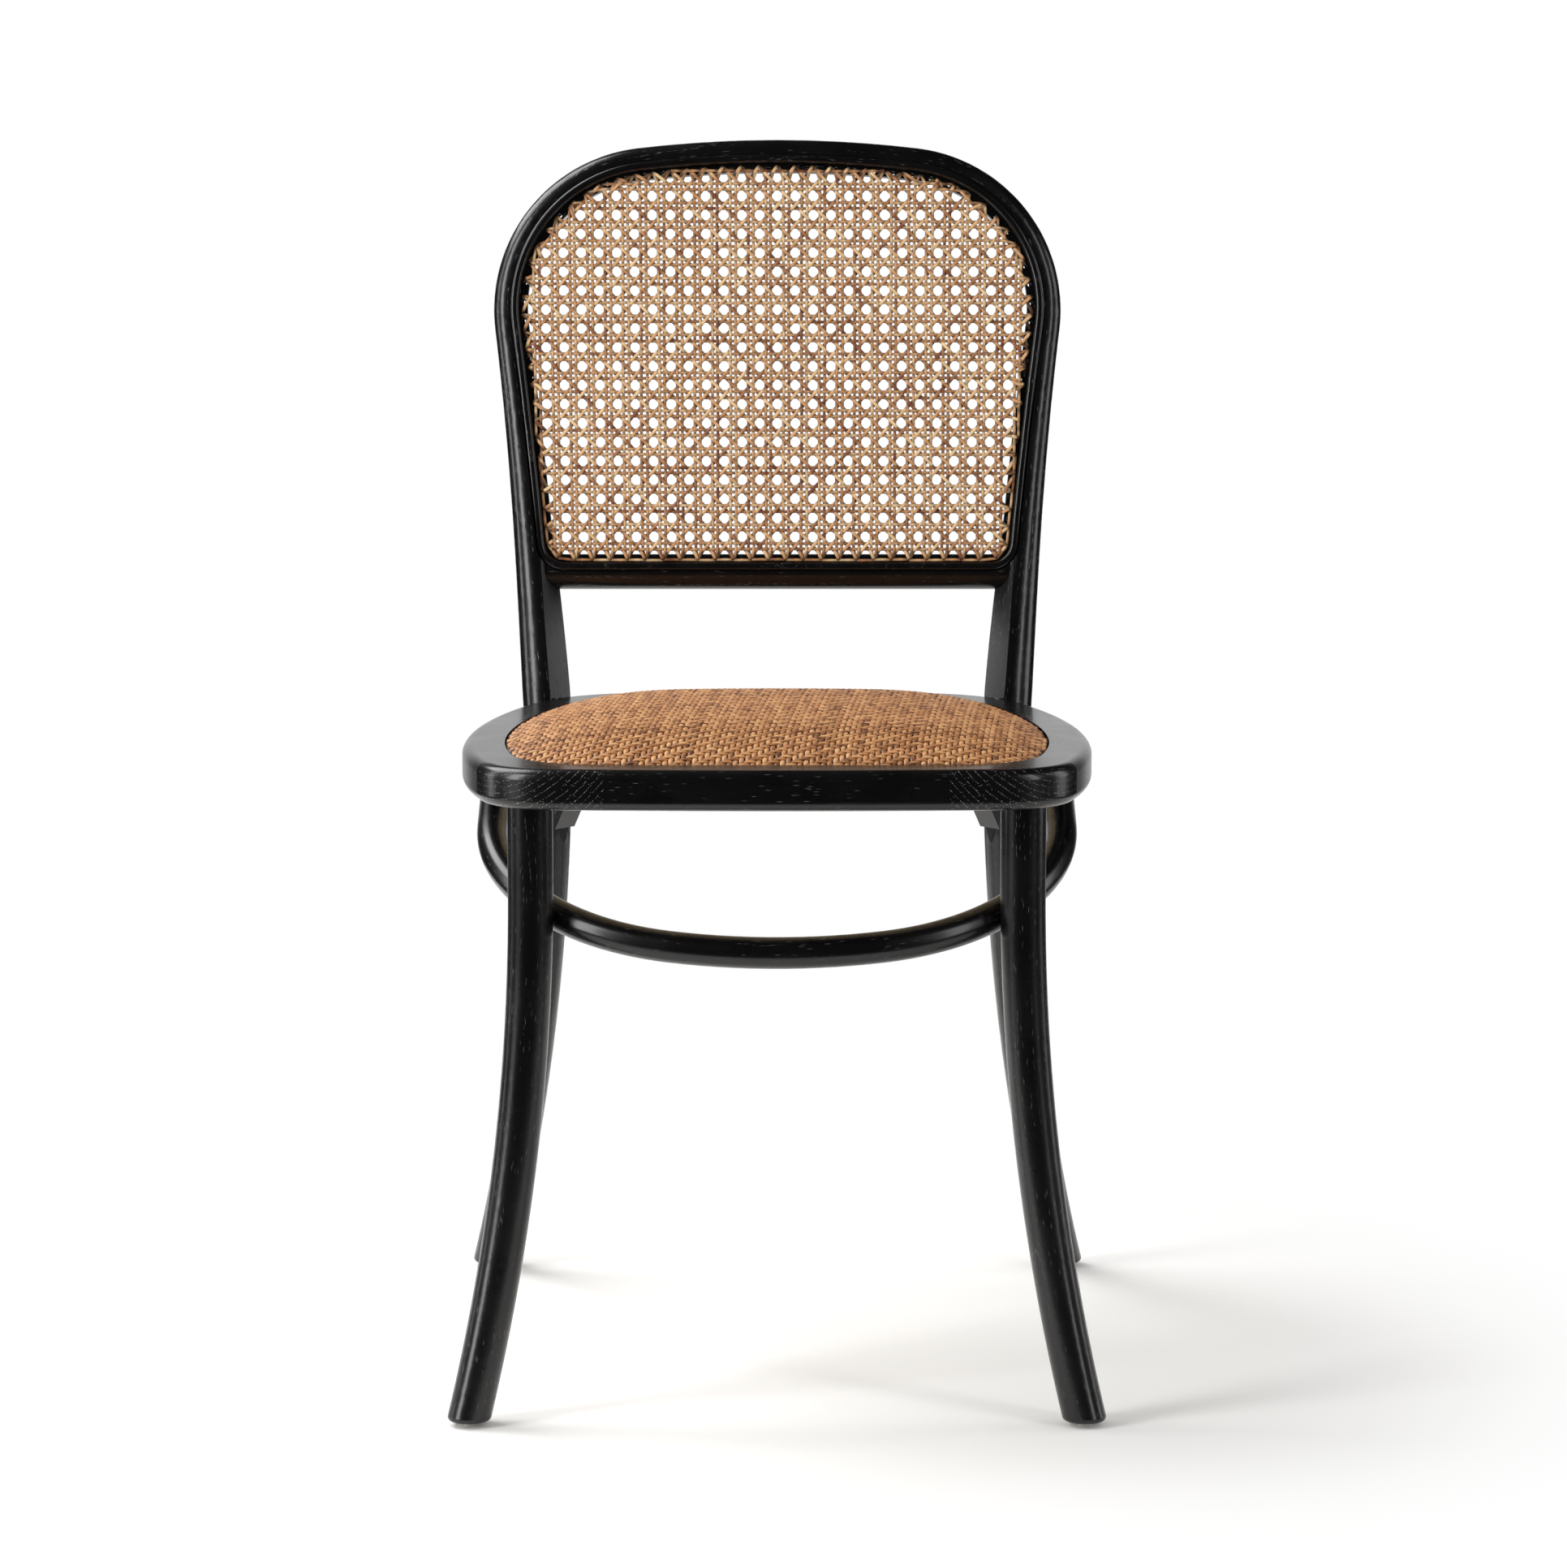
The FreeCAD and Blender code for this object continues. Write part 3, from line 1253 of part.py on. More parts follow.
def make_screws():
    board = [screw("board_screw_%d" % k, seat, Vector(0, 0, 1), "board_screw_length")
             for k, seat in enumerate(board_screw_seats())]
    node(group("seat_board_screws", board), "seat_board_screws")
    frame = [screw("cane_frame_screw_%d" % k, seat, FRONT, "frame_screw_length")
             for k, seat in enumerate(frame_screw_seats())]
    node(group("cane_frame_screws", frame), "cane_frame_screws")
    legs = [screw("hoop_leg_screw_%d" % k, seat, direction, "leg_screw_length")
            for k, (seat, direction) in enumerate(leg_screw_seats())]
    node(group("hoop_leg_screws", legs), "hoop_leg_screws")
    ring = [screw("hoop_ring_screw_%d" % k, seat, Vector(0, 0, 1), "hoop_screw_length")
            for k, seat in enumerate(ring_screw_seats())]
    node(group("hoop_ring_screws", ring), "hoop_ring_screws")


def make_bolts():
    bolts, washers, nuts = [], [], []
    for side in ("left", "right"):
        seat, heading = bolt_axis(side)
        washer_disc = cylinder("washer_disc_" + side, "washer_dia / 2", "washer_thick",
                               aim(seat - heading * size("washer_thick"), heading))
        washer_hole = cylinder("washer_hole_" + side, "bolt_dia / 2 + fit_gap", "washer_thick",
                               washer_disc.Placement)
        washers.append(cut("washer_" + side, washer_disc, [washer_hole]))
        under = seat - heading * size("washer_thick")
        shank = cylinder("bolt_shank_" + side, "bolt_dia / 2", "bolt_length", aim(under, heading))
        head = cylinder("bolt_head_" + side, "bolt_head_dia / 2", "bolt_head_thick",
                        aim(under - heading * size("bolt_head_thick"), heading))
        bolts.append(fuse("bolt_" + side, [shank, head]))
        nut = cylinder("nut_rod_" + side, "nut_dia / 2", "nut_length", nut_place(side))
        bore = cylinder("nut_bore_" + side, "bolt_dia / 2 + fit_gap", "2 * bolt_length",
                        aim(under, heading))
        nuts.append(cut("nut_" + side, nut, [bore]))
    node(group("rear_post_bolts", bolts), "rear_post_bolts")
    node(group("rear_post_washers", washers), "rear_post_washers")
    node(group("rear_post_nuts", nuts), "rear_post_nuts")


make_back_hoop()
make_lower_rail()
make_cane_frame()
make_back_cane()
make_ring()
make_dowels()
make_seat()
make_front_legs()
make_leg_hoop()
make_corner_blocks()
make_glides()
make_screws()
make_bolts()
doc.recompute()

# Checks and export

for thing in doc.Objects:
    if "Invalid" in thing.State or "Error" in thing.State:
        raise RuntimeError("%s failed: %s" % (thing.Name, thing.State))
for thing in SUBPARTS:
    shape = thing.Shape
    if shape.isNull() or not shape.isValid() or not shape.Solids:
        raise RuntimeError("%s has no valid solid" % thing.Label)
for thing in SUBPARTS:
    thing.Shape.exportStep("parts/%s.step" % thing.Label)
    print("%-24s solids %d  volume %.0f" % (thing.Label, len(thing.Shape.Solids), thing.Shape.Volume))
whole = FreeCAD.BoundBox()
for thing in SUBPARTS:
    whole.add(thing.Shape.BoundBox)
print("overall x %.1f" % whole.XLength)
print("overall y %.1f to %.1f" % (whole.YMin, whole.YMax))
print("overall z %.1f to %.1f" % (whole.ZMin, whole.ZMax))
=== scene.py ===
"""Bentwood bistro chair with a caned back and a woven seat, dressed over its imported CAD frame."""
import math

import bpy
import numpy as np
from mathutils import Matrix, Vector


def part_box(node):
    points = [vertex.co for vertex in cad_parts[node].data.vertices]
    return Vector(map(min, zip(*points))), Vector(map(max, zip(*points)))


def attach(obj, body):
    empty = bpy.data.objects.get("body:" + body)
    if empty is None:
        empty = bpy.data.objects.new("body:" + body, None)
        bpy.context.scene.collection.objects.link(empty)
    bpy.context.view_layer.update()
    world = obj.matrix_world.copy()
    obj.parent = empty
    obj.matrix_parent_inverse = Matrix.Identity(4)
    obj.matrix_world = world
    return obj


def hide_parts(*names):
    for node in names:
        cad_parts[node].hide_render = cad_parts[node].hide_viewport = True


bl_info = {
    "name": "Bentwood Bistro Chair",
    "version": (1, 0, 0),
    "blender": (4, 5, 0),
    "location": "3D View > Sidebar > Chair",
    "description": "Builds the chair's wood, cane, seat, hardware and studio",
    "category": "Object",
}

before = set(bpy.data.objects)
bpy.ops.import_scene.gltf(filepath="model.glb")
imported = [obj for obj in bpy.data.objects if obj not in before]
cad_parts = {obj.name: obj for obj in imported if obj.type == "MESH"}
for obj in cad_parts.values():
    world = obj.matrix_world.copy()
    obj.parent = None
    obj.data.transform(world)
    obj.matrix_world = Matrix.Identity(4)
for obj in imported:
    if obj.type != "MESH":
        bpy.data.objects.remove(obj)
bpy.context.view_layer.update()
MM = 0.001

# Sizes of the CAD that the dressing follows, in millimetres and degrees
POST_X, POST_Y, BEND_LEVEL, BEND_RAD = 173, 150, 445.25, 200
REAR_FOOT, FRONT_FOOT, FRONT_TOP = (222.5, 233), (214, -234), (170, -201, 450)
REAR_PLUMB, FRONT_PLUMB, GLIDE = 5, 75, 3.5
BACK_LEAN, BACK_SPLAY = 10.5, 4
SIDE_BOW, CROWN_BOW, SHOULDER, HOOP_REACH = 4500, 884, 111.5, 425
RAIL_REACH, FRAME_INSET, FRAME_CORNER, BEAD, LIP_FACE = 108, 1.5, 22, 6.5, 7
LEG_HOOP_TILT, LEG_HOOP_RADIUS, LEG_HOOP_HALF_WIDTH = 21.8, 11, 203
LEG_HOOP_FRONT_RAD, LEG_HOOP_CORNER_RAD, LEG_HOOP_END_Y = 340, 165, 21
RING_TOP, RING_UNDERSIDE, RING_BAND = 459.5, 431, 30
RING_HALF_WIDTH, RING_WIDEST_Y, RING_FRONT_Y, RING_REAR_Y = 223, -79, -241, 183
FRONT_BOW, REAR_BOW, SIDE_FRONT_BOW, SIDE_REAR_BOW = 2500, 900, 420, 530
MOUTH_FRONT_RAD, MOUTH_REAR_RAD, INSERT_GAP, RIM_DROP = 60, 78, 0.8, 0.5
CROWN_RISE, CROWN_POWER = 17.5, 4


# Colours

def linear(hex_colour):
    """Linear red, green and blue of an sRGB hex colour."""
    parts = [int(hex_colour[i:i + 2], 16) / 255 for i in (1, 3, 5)]
    return tuple(p / 12.92 if p <= 0.04045 else ((p + 0.055) / 1.055) ** 2.4 for p in parts)


BLACK_STAIN = linear("#070607")
STAIN_WORN = linear("#0d0c0d")
# Pale pores: partly dust in them, partly a painted glint
PORE_DUST_AND_GLINT = linear("#b6b3af")
CANE_LIGHT = linear("#ebc998")
CANE_MID = linear("#cb9766")
CANE_DARK = linear("#7f4729")
CANE_NODE = linear("#4a2c1a")
SEAT_LIGHT = linear("#d8a26c")
SEAT_MID = linear("#b97e4c")
SEAT_DARK = linear("#6c3d20")
# Brown lining, painted darker as the shade in the seat's gaps
LINING_AND_GAP_SHADE = linear("#24140c")
FLOOR_PAPER = linear("#f4f3f1")


class ChairSizes(bpy.types.PropertyGroup):
    """Sizes of the cane and of the seat's weave."""
    lattice_across: bpy.props.FloatProperty(
        name="Cane pitch across", description="Spacing of the cane's upright pairs at mid height",
        default=13.4 * MM, unit="LENGTH")
    lattice_up: bpy.props.FloatProperty(
        name="Cane pitch up", description="Spacing of the cane's level pairs",
        default=14.32 * MM, unit="LENGTH")
    pair_gap: bpy.props.FloatProperty(
        name="Pair spacing", description="Distance between the two strands of a pair",
        default=3.9 * MM, unit="LENGTH")
    cane_width: bpy.props.FloatProperty(
        name="Cane width", description="Width of an upright or level strand",
        default=2.15 * MM, unit="LENGTH")
    diagonal_width: bpy.props.FloatProperty(
        name="Diagonal width", description="Width of a slanted strand",
        default=2.5 * MM, unit="LENGTH")
    cane_thick: bpy.props.FloatProperty(
        name="Cane thickness", description="Thickness of a strand of the back",
        default=0.85 * MM, unit="LENGTH")
    seat_pitch: bpy.props.FloatProperty(
        name="Seat strand pitch", description="Spacing of the seat's strands, both ways",
        default=4.05 * MM, unit="LENGTH")
    seat_strand: bpy.props.FloatProperty(
        name="Seat strand width", description="Width of a strand of the seat",
        default=3.55 * MM, unit="LENGTH")
    seat_strand_thick: bpy.props.FloatProperty(
        name="Seat strand thickness", description="Thickness of a strand of the seat",
        default=1.5 * MM, unit="LENGTH")


class ChairColours(bpy.types.PropertyGroup):
    """Colours of the wood, the cane and the seat."""
    stain: bpy.props.FloatVectorProperty(
        name="Wood stain", description="Colour of the stained wood",
        default=BLACK_STAIN, size=3, subtype="COLOR")
    cane: bpy.props.FloatVectorProperty(
        name="Back cane", description="Main colour of the back's cane",
        default=CANE_MID, size=3, subtype="COLOR")
    seat: bpy.props.FloatVectorProperty(
        name="Seat weave", description="Main colour of the seat's woven cane",
        default=SEAT_MID, size=3, subtype="COLOR")
    floor: bpy.props.FloatVectorProperty(
        name="Floor", description="Colour of the floor",
        default=FLOOR_PAPER, size=3, subtype="COLOR")


# Materials

def new_material(name):
    """An empty node material, and its shader node already linked to the output."""
    material = bpy.data.materials.new(name)
    material.use_nodes = True
    tree = material.node_tree
    tree.nodes.clear()
    shader = tree.nodes.new("ShaderNodeBsdfPrincipled")
    output = tree.nodes.new("ShaderNodeOutputMaterial")
    tree.links.new(shader.outputs["BSDF"], output.inputs["Surface"])
    return material, tree, shader


def add(tree, kind, settings=None, **links):
    """Adds a node, sets its properties and sockets, and links its inputs by name or number."""
    node = tree.nodes.new("ShaderNode" + kind)
    for key, value in (settings or {}).items():
        if isinstance(key, str) and hasattr(node, key):
            setattr(node, key, value)
        else:
            node.inputs[key].default_value = value
    for key, source in links.items():
        socket = node.inputs[int(key[1:])] if key[0] == "_" else node.inputs[key.replace("_", " ")]
        tree.links.new(source, socket)
    return node


def ramp(tree, source, *stops):
    """A colour ramp over source, from pairs of position and colour."""
    node = add(tree, "ValToRGB", None, Fac=source)
    elements = node.color_ramp.elements
    while len(elements) < len(stops):
        elements.new(0.5)
    for element, (place, colour) in zip(elements, stops):
        element.position = place
        element.color = (*colour, 1.0)
    return node.outputs["Color"]


def per(size):
    """The scale of a pattern whose features lie size millimetres apart."""
    return 1 / (size * MM)


def stained_ash(name, stain, along_y):
    """Ash, steam-bent or sawn, stained black and sealed with satin lacquer.

    Ash is ring porous, so rows of open pores run with the grain. They stay as fine dimples under the
    thin lacquer and catch the light, which gives the eye soft long highlights broken by short pale or
    dark flecks. The pale flecks are a pale colour painted into the pores, partly for dust in them and
    partly as a painted glint. The pores are drawn 0.6 mm wide, twice their real width, so that they
    show in the render. In wood whose grain runs along Y, the rows show plainly where a face cuts
    across it."""
    material, tree, shader = new_material(name)
    grain = add(tree, "Attribute", {"attribute_name": "grain"}).outputs["Vector"]
    # Growth rings lie 4.2 mm apart round a pith outside the wood, and sway by up to 14 mm
    drift = add(tree, "TexNoise", {"Scale": per(111), "Detail": 2.0}, Vector=grain)
    sway = add(tree, "VectorMath", {"operation": "SCALE", "Scale": 14 * MM},
               _0=drift.outputs["Color"])
    swayed = add(tree, "VectorMath", {"operation": "ADD"}, _0=grain, _1=sway.outputs[0])
    flat = add(tree, "VectorMath", {"operation": "MULTIPLY", 1: (1.0, 1.0, 0.0)},
               _0=swayed.outputs[0])
    pith = add(tree, "VectorMath", {"operation": "DISTANCE", 1: (45 * MM, 75 * MM, 0.0)},
               _0=flat.outputs[0])
    rings = add(tree, "Math", {"operation": "MULTIPLY", 1: per(4.2)}, _0=pith.outputs["Value"])
    phase = add(tree, "Math", {"operation": "FRACT"}, _0=rings.outputs[0])
    early = add(tree, "MapRange", {"interpolation_type": "SMOOTHSTEP", 1: 0.86, 2: 0.93},
                _0=phase.outputs[0])
    # Pores: long cells, 0.6 mm across and 6 mm along the grain
    cells = add(tree, "VectorMath", {"operation": "MULTIPLY", 1: (per(0.62), per(0.62), per(6))},
                _0=grain)
    pores = add(tree, "TexVoronoi", {"feature": "F1", "Scale": 1.0}, Vector=cells.outputs[0])
    pick = add(tree, "SeparateColor", None, Color=pores.outputs["Color"])
    near = add(tree, "MapRange", {1: 0.46, 2: 0.12}, _0=pores.outputs["Distance"])
    # In patches about 70 mm apart the rows stay open, and elsewhere the lacquer fills them
    patch = add(tree, "TexNoise", {"Scale": per(71.4), "Detail": 1.0}, Vector=grain)
    open_here = add(tree, "MapRange", {1: 0.46, 2: 0.62, 3: 0.12, 4: 0.95}, _0=patch.outputs["Fac"])
    # Where the surface cuts across the grain, at the ring's corners, every row shows its ends
    normal = add(tree, "SeparateXYZ", None, Vector=add(tree, "NewGeometry").outputs["Normal"])
    facing = add(tree, "Math", {"operation": "ABSOLUTE"}, _0=normal.outputs["Y"])
    across = add(tree, "MapRange", {"interpolation_type": "SMOOTHSTEP", 1: 0.2, 2: 0.6,
                                    4: 0.85 if along_y else 0.0}, _0=facing.outputs[0])
    open_now = add(tree, "Math", {"operation": "MAXIMUM"}, _0=open_here.outputs[0],
                   _1=across.outputs[0])
    rows = add(tree, "Math", {"operation": "MULTIPLY"}, _0=early.outputs[0], _1=open_now.outputs[0])
    chance = add(tree, "Math", {"operation": "ADD", 1: 0.025}, _0=rows.outputs[0])
    open_pore = add(tree, "Math", {"operation": "LESS_THAN"},
                    _0=pick.outputs[0], _1=chance.outputs[0])
    pore = add(tree, "Math", {"operation": "MULTIPLY"}, _0=near.outputs[0],
               _1=open_pore.outputs[0])
    # Fibre lines 1.1 mm apart and 42 mm long, and the slight cloudiness of the stain
    fibre_at = add(tree, "VectorMath", {"operation": "MULTIPLY",
                                        1: (per(1.11), per(1.11), per(41.7))}, _0=grain)
    fibre = add(tree, "TexNoise", {"Scale": 1.0, "Detail": 3.0}, Vector=fibre_at.outputs[0])
    cloud = add(tree, "TexNoise", {"Scale": per(38.5), "Detail": 3.0}, Vector=grain)
    tone = add(tree, "Math", {"operation": "MULTIPLY"}, _0=fibre.outputs["Fac"],
               _1=cloud.outputs["Fac"])
    wood = ramp(tree, tone.outputs[0], (0.15, stain), (0.42, STAIN_WORN))
    # Pale pores, paler on faces across the grain: partly dust in the pores, partly a painted glint
    # where they catch the light
    dust_and_glint = add(tree, "Math", {"operation": "MULTIPLY_ADD", 1: 0.95, 2: 0.16}, _0=across.outputs[0])
    amount = add(tree, "Math", {"operation": "MULTIPLY"}, _0=pore.outputs[0], _1=dust_and_glint.outputs[0])
    colour = add(tree, "Mix", {"data_type": "RGBA"})
    tree.links.new(amount.outputs[0], colour.inputs["Factor"])
    tree.links.new(wood, colour.inputs[6])
    colour.inputs[7].default_value = (*PORE_DUST_AND_GLINT, 1.0)
    tree.links.new(colour.outputs[2], shader.inputs["Base Color"])
    rough = add(tree, "MapRange", {3: 0.22, 4: 0.33}, _0=cloud.outputs["Fac"])
    tree.links.new(rough.outputs[0], shader.inputs["Roughness"])
    height = add(tree, "Math", {"operation": "MULTIPLY_ADD", 1: -1.0}, _0=pore.outputs[0])
    fine = add(tree, "Math", {"operation": "MULTIPLY", 1: 0.22}, _0=fibre.outputs["Fac"])
    tree.links.new(fine.outputs[0], height.inputs[2])
    bump = add(tree, "Bump", {"Strength": 0.5, "Distance": 0.16 * MM}, Height=height.outputs[0])
    tree.links.new(bump.outputs["Normal"], shader.inputs["Normal"])
    shader.inputs["IOR"].default_value = 1.46
    shader.inputs["Coat Weight"].default_value = 0.15
    shader.inputs["Coat Roughness"].default_value = 0.12
    return material


def rattan_cane(name, light, mid, dark, node_dark, rough_low, rough_high, painted_crevice_shade):
    """Split rattan peel: a glossy skin over straight fibres, cut to even strands.

    Each strand has its own tone, fine lines run its length, and now and then a dark ring
    marks where a leaf grew. The eye sees warm straw with a waxy sheen."""
    material, tree, shader = new_material(name)
    strand = add(tree, "Attribute", {"attribute_name": "strand"}).outputs["Fac"]
    place = add(tree, "Attribute", {"attribute_name": "weave"}).outputs["Vector"]
    # Fibre lines 0.3 mm apart and 17 mm long, and blotches 12 mm long
    lines_at = add(tree, "VectorMath", {"operation": "MULTIPLY", 1: (per(0.3125), per(16.7), 1.0)},
                   _0=place)
    lines = add(tree, "TexNoise", {"Scale": 1.0, "Detail": 2.0}, Vector=lines_at.outputs[0])
    blotch_at = add(tree, "VectorMath", {"operation": "MULTIPLY", 1: (per(11.1), per(11.76), 1.0)},
                    _0=place)
    blotch = add(tree, "TexNoise", {"Scale": 1.0, "Detail": 3.0}, Vector=blotch_at.outputs[0])
    tone = add(tree, "Math", {"operation": "MULTIPLY_ADD", 1: 0.5}, _0=strand)
    part = add(tree, "Math", {"operation": "MULTIPLY_ADD", 1: 1.3, 2: -0.4},
               _0=blotch.outputs["Fac"])
    tree.links.new(part.outputs[0], tone.inputs[2])
    base = ramp(tree, tone.outputs[0], (0.12, dark), (0.45, mid), (0.85, light))
    streak = add(tree, "MapRange", {1: 0.3, 2: 0.72, 3: 0.72, 4: 1.1}, _0=lines.outputs["Fac"])
    # Painted shade darkens each strand where it dips under another and along its edges, with a little
    # real dirt at the edges
    painted_shade_depth = add(tree, "Attribute", {"attribute_name": "painted_shade_depth"}).outputs["Fac"]
    painted_shade = add(tree, "MapRange", {3: 1.12, 4: painted_crevice_shade}, _0=painted_shade_depth)
    shaded = add(tree, "Math", {"operation": "MULTIPLY"}, _0=streak.outputs[0], _1=painted_shade.outputs[0])
    lined = add(tree, "VectorMath", {"operation": "SCALE"}, _0=base)
    tree.links.new(shaded.outputs[0], lined.inputs["Scale"])
    # Leaf rings: short dark bands, about 140 mm apart along a strand
    ring_at = add(tree, "VectorMath", {"operation": "MULTIPLY", 1: (0.0, per(143), 1.0)}, _0=place)
    ring = add(tree, "TexVoronoi", {"feature": "F1", "Scale": 1.0}, Vector=ring_at.outputs[0])
    ring_mask = add(tree, "MapRange", {1: 0.045, 2: 0.012}, _0=ring.outputs["Distance"])
    colour = add(tree, "Mix", {"data_type": "RGBA"})
    tree.links.new(ring_mask.outputs[0], colour.inputs["Factor"])
    tree.links.new(lined.outputs[0], colour.inputs[6])
    colour.inputs[7].default_value = (*node_dark, 1.0)
    tree.links.new(colour.outputs[2], shader.inputs["Base Color"])
    rough = add(tree, "MapRange", {3: rough_low, 4: rough_high}, _0=blotch.outputs["Fac"])
    tree.links.new(rough.outputs[0], shader.inputs["Roughness"])
    bump = add(tree, "Bump", {"Strength": 0.45, "Distance": 0.12 * MM}, Height=lines.outputs["Fac"])
    tree.links.new(bump.outputs["Normal"], shader.inputs["Normal"])
    shader.inputs["IOR"].default_value = 1.48
    shader.inputs["Coat Weight"].default_value = 0.12
    shader.inputs["Coat Roughness"].default_value = 0.3
    return material


def lining_cloth():
    """Brown cotton lining, glued over the foam and seen only between the strands.

    A dull plain weave with 0.8 mm threads. Its brown is painted very dark as the shade deep in the
    seat's gaps, which gives them their depth."""
    material, tree, shader = new_material("brown_lining_and_gap_shade")
    place = add(tree, "TexCoord").outputs["Object"]
    # Two threads make one wave, and a wave texture runs pi / 10 of its scale
    threads = per(2 * 0.785) * math.pi / 10
    warp, weft = (add(tree, "TexWave", {"bands_direction": way, "Scale": threads,
                                        "Distortion": 0.4}, Vector=place) for way in "XY")
    cross = add(tree, "Math", {"operation": "MULTIPLY"}, _0=warp.outputs["Fac"],
                _1=weft.outputs["Fac"])
    base = ramp(tree, cross.outputs[0], (0.0, tuple(c * 0.6 for c in LINING_AND_GAP_SHADE)), (1.0, LINING_AND_GAP_SHADE))
    tree.links.new(base, shader.inputs["Base Color"])
    bump = add(tree, "Bump", {"Strength": 0.5, "Distance": 0.15 * MM}, Height=cross.outputs[0])
    tree.links.new(bump.outputs["Normal"], shader.inputs["Normal"])
    shader.inputs["Roughness"].default_value = 0.92
    return material


def birch_plywood():
    """Raw birch plywood: pale rotary-cut faces and 1.4 mm plies that show as lines on the edge."""
    material, tree, shader = new_material("raw_birch_plywood")
    place = add(tree, "TexCoord").outputs["Object"]
    stretched = add(tree, "VectorMath", {"operation": "MULTIPLY",
                                         1: (per(71.4), per(11.1), per(11.1))}, _0=place)
    figure = add(tree, "TexNoise", {"Scale": 1.0, "Detail": 4.0, "Distortion": 0.6},
                 Vector=stretched.outputs[0])
    face = ramp(tree, figure.outputs["Fac"], (0.3, linear("#d9bd92")), (0.7, linear("#ecd8b4")))
    height = add(tree, "SeparateXYZ", None, Vector=place)
    ply = add(tree, "Math", {"operation": "MULTIPLY", 1: per(2 * 1.4)}, _0=height.outputs["Z"])
    even = add(tree, "Math", {"operation": "FRACT"}, _0=ply.outputs[0])
    band = add(tree, "Math", {"operation": "GREATER_THAN", 1: 0.5}, _0=even.outputs[0])
    shade = add(tree, "MapRange", {3: 0.72, 4: 1.0}, _0=band.outputs[0])
    final = add(tree, "VectorMath", {"operation": "SCALE"}, _0=face)
    tree.links.new(shade.outputs[0], final.inputs["Scale"])
    tree.links.new(final.outputs[0], shader.inputs["Base Color"])
    bump = add(tree, "Bump", {"Strength": 0.3, "Distance": 0.1 * MM}, Height=figure.outputs["Fac"])
    tree.links.new(bump.outputs["Normal"], shader.inputs["Normal"])
    shader.inputs["Roughness"].default_value = 0.62
    return material


def beech_dowel():
    """Fluted beech dowel rod, raw: pinkish tan with short dark flecks along the grain."""
    material, tree, shader = new_material("raw_beech_dowel")
    place = add(tree, "TexCoord").outputs["Object"]
    fleck_at = add(tree, "VectorMath", {"operation": "MULTIPLY",
                                        1: (per(3.33), per(0.667), per(0.667))}, _0=place)
    fleck = add(tree, "TexNoise", {"Scale": 1.0, "Detail": 2.0}, Vector=fleck_at.outputs[0])
    base = ramp(tree, fleck.outputs["Fac"], (0.34, linear("#a97850")), (0.55, linear("#d8b08a")))
    tree.links.new(base, shader.inputs["Base Color"])
    bump = add(tree, "Bump", {"Strength": 0.3, "Distance": 0.1 * MM}, Height=fleck.outputs["Fac"])
    tree.links.new(bump.outputs["Normal"], shader.inputs["Normal"])
    shader.inputs["Roughness"].default_value = 0.6
    return material


def plated_steel():
    """Zinc-plated steel: cool bright grey with faint 1.4 mm clouds in its colour and gloss."""
    material, tree, shader = new_material("zinc_plated_steel")
    place = add(tree, "TexCoord").outputs["Object"]
    cloud = add(tree, "TexNoise", {"Scale": per(1.43), "Detail": 3.0}, Vector=place)
    base = ramp(tree, cloud.outputs["Fac"], (0.3, linear("#9ea3a8")), (0.7, linear("#c9cdd0")))
    tree.links.new(base, shader.inputs["Base Color"])
    rough = add(tree, "MapRange", {3: 0.24, 4: 0.4}, _0=cloud.outputs["Fac"])
    tree.links.new(rough.outputs[0], shader.inputs["Roughness"])
    bump = add(tree, "Bump", {"Strength": 0.15, "Distance": 0.05 * MM}, Height=cloud.outputs["Fac"])
    tree.links.new(bump.outputs["Normal"], shader.inputs["Normal"])
    shader.inputs["Metallic"].default_value = 1.0
    return material


def moulded_glide():
    """Moulded polyamide glide: milky beige, satin, with fine scuffs from the floor."""
    material, tree, shader = new_material("moulded_polyamide")
    place = add(tree, "TexCoord").outputs["Object"]
    scuff_at = add(tree, "VectorMath", {"operation": "MULTIPLY", 1: (per(0.833), per(0.833), per(2))},
                   _0=place)
    scuff = add(tree, "TexNoise", {"Scale": 1.0, "Detail": 4.0}, Vector=scuff_at.outputs[0])
    base = ramp(tree, scuff.outputs["Fac"], (0.3, linear("#c9c1b2")), (0.6, linear("#e4ded2")))
    tree.links.new(base, shader.inputs["Base Color"])
    rough = add(tree, "MapRange", {3: 0.35, 4: 0.6}, _0=scuff.outputs["Fac"])
    tree.links.new(rough.outputs[0], shader.inputs["Roughness"])
    bump = add(tree, "Bump", {"Strength": 0.2, "Distance": 0.05 * MM}, Height=scuff.outputs["Fac"])
    tree.links.new(bump.outputs["Normal"], shader.inputs["Normal"])
    shader.inputs["IOR"].default_value = 1.53
    shader.inputs["Subsurface Weight"].default_value = 0.15
    shader.inputs["Subsurface Radius"].default_value = (1.0 * MM, 0.8 * MM, 0.6 * MM)
    return material


# Curves in a plane, in millimetres

def meet(c1, r1, c2, r2, left):
    """A point at r1 from c1 and r2 from c2, to the left of c1 to c2 or to its right."""
    c1, c2 = np.array(c1, float), np.array(c2, float)
    gap = c2 - c1
    length = np.hypot(*gap)
    along = (length ** 2 + r1 ** 2 - r2 ** 2) / (2 * length)
    off = math.sqrt(max(r1 ** 2 - along ** 2, 0))
    ahead = gap / length
    across = np.array([-ahead[1], ahead[0]])
    return c1 + ahead * along + across * (off if left else -off)


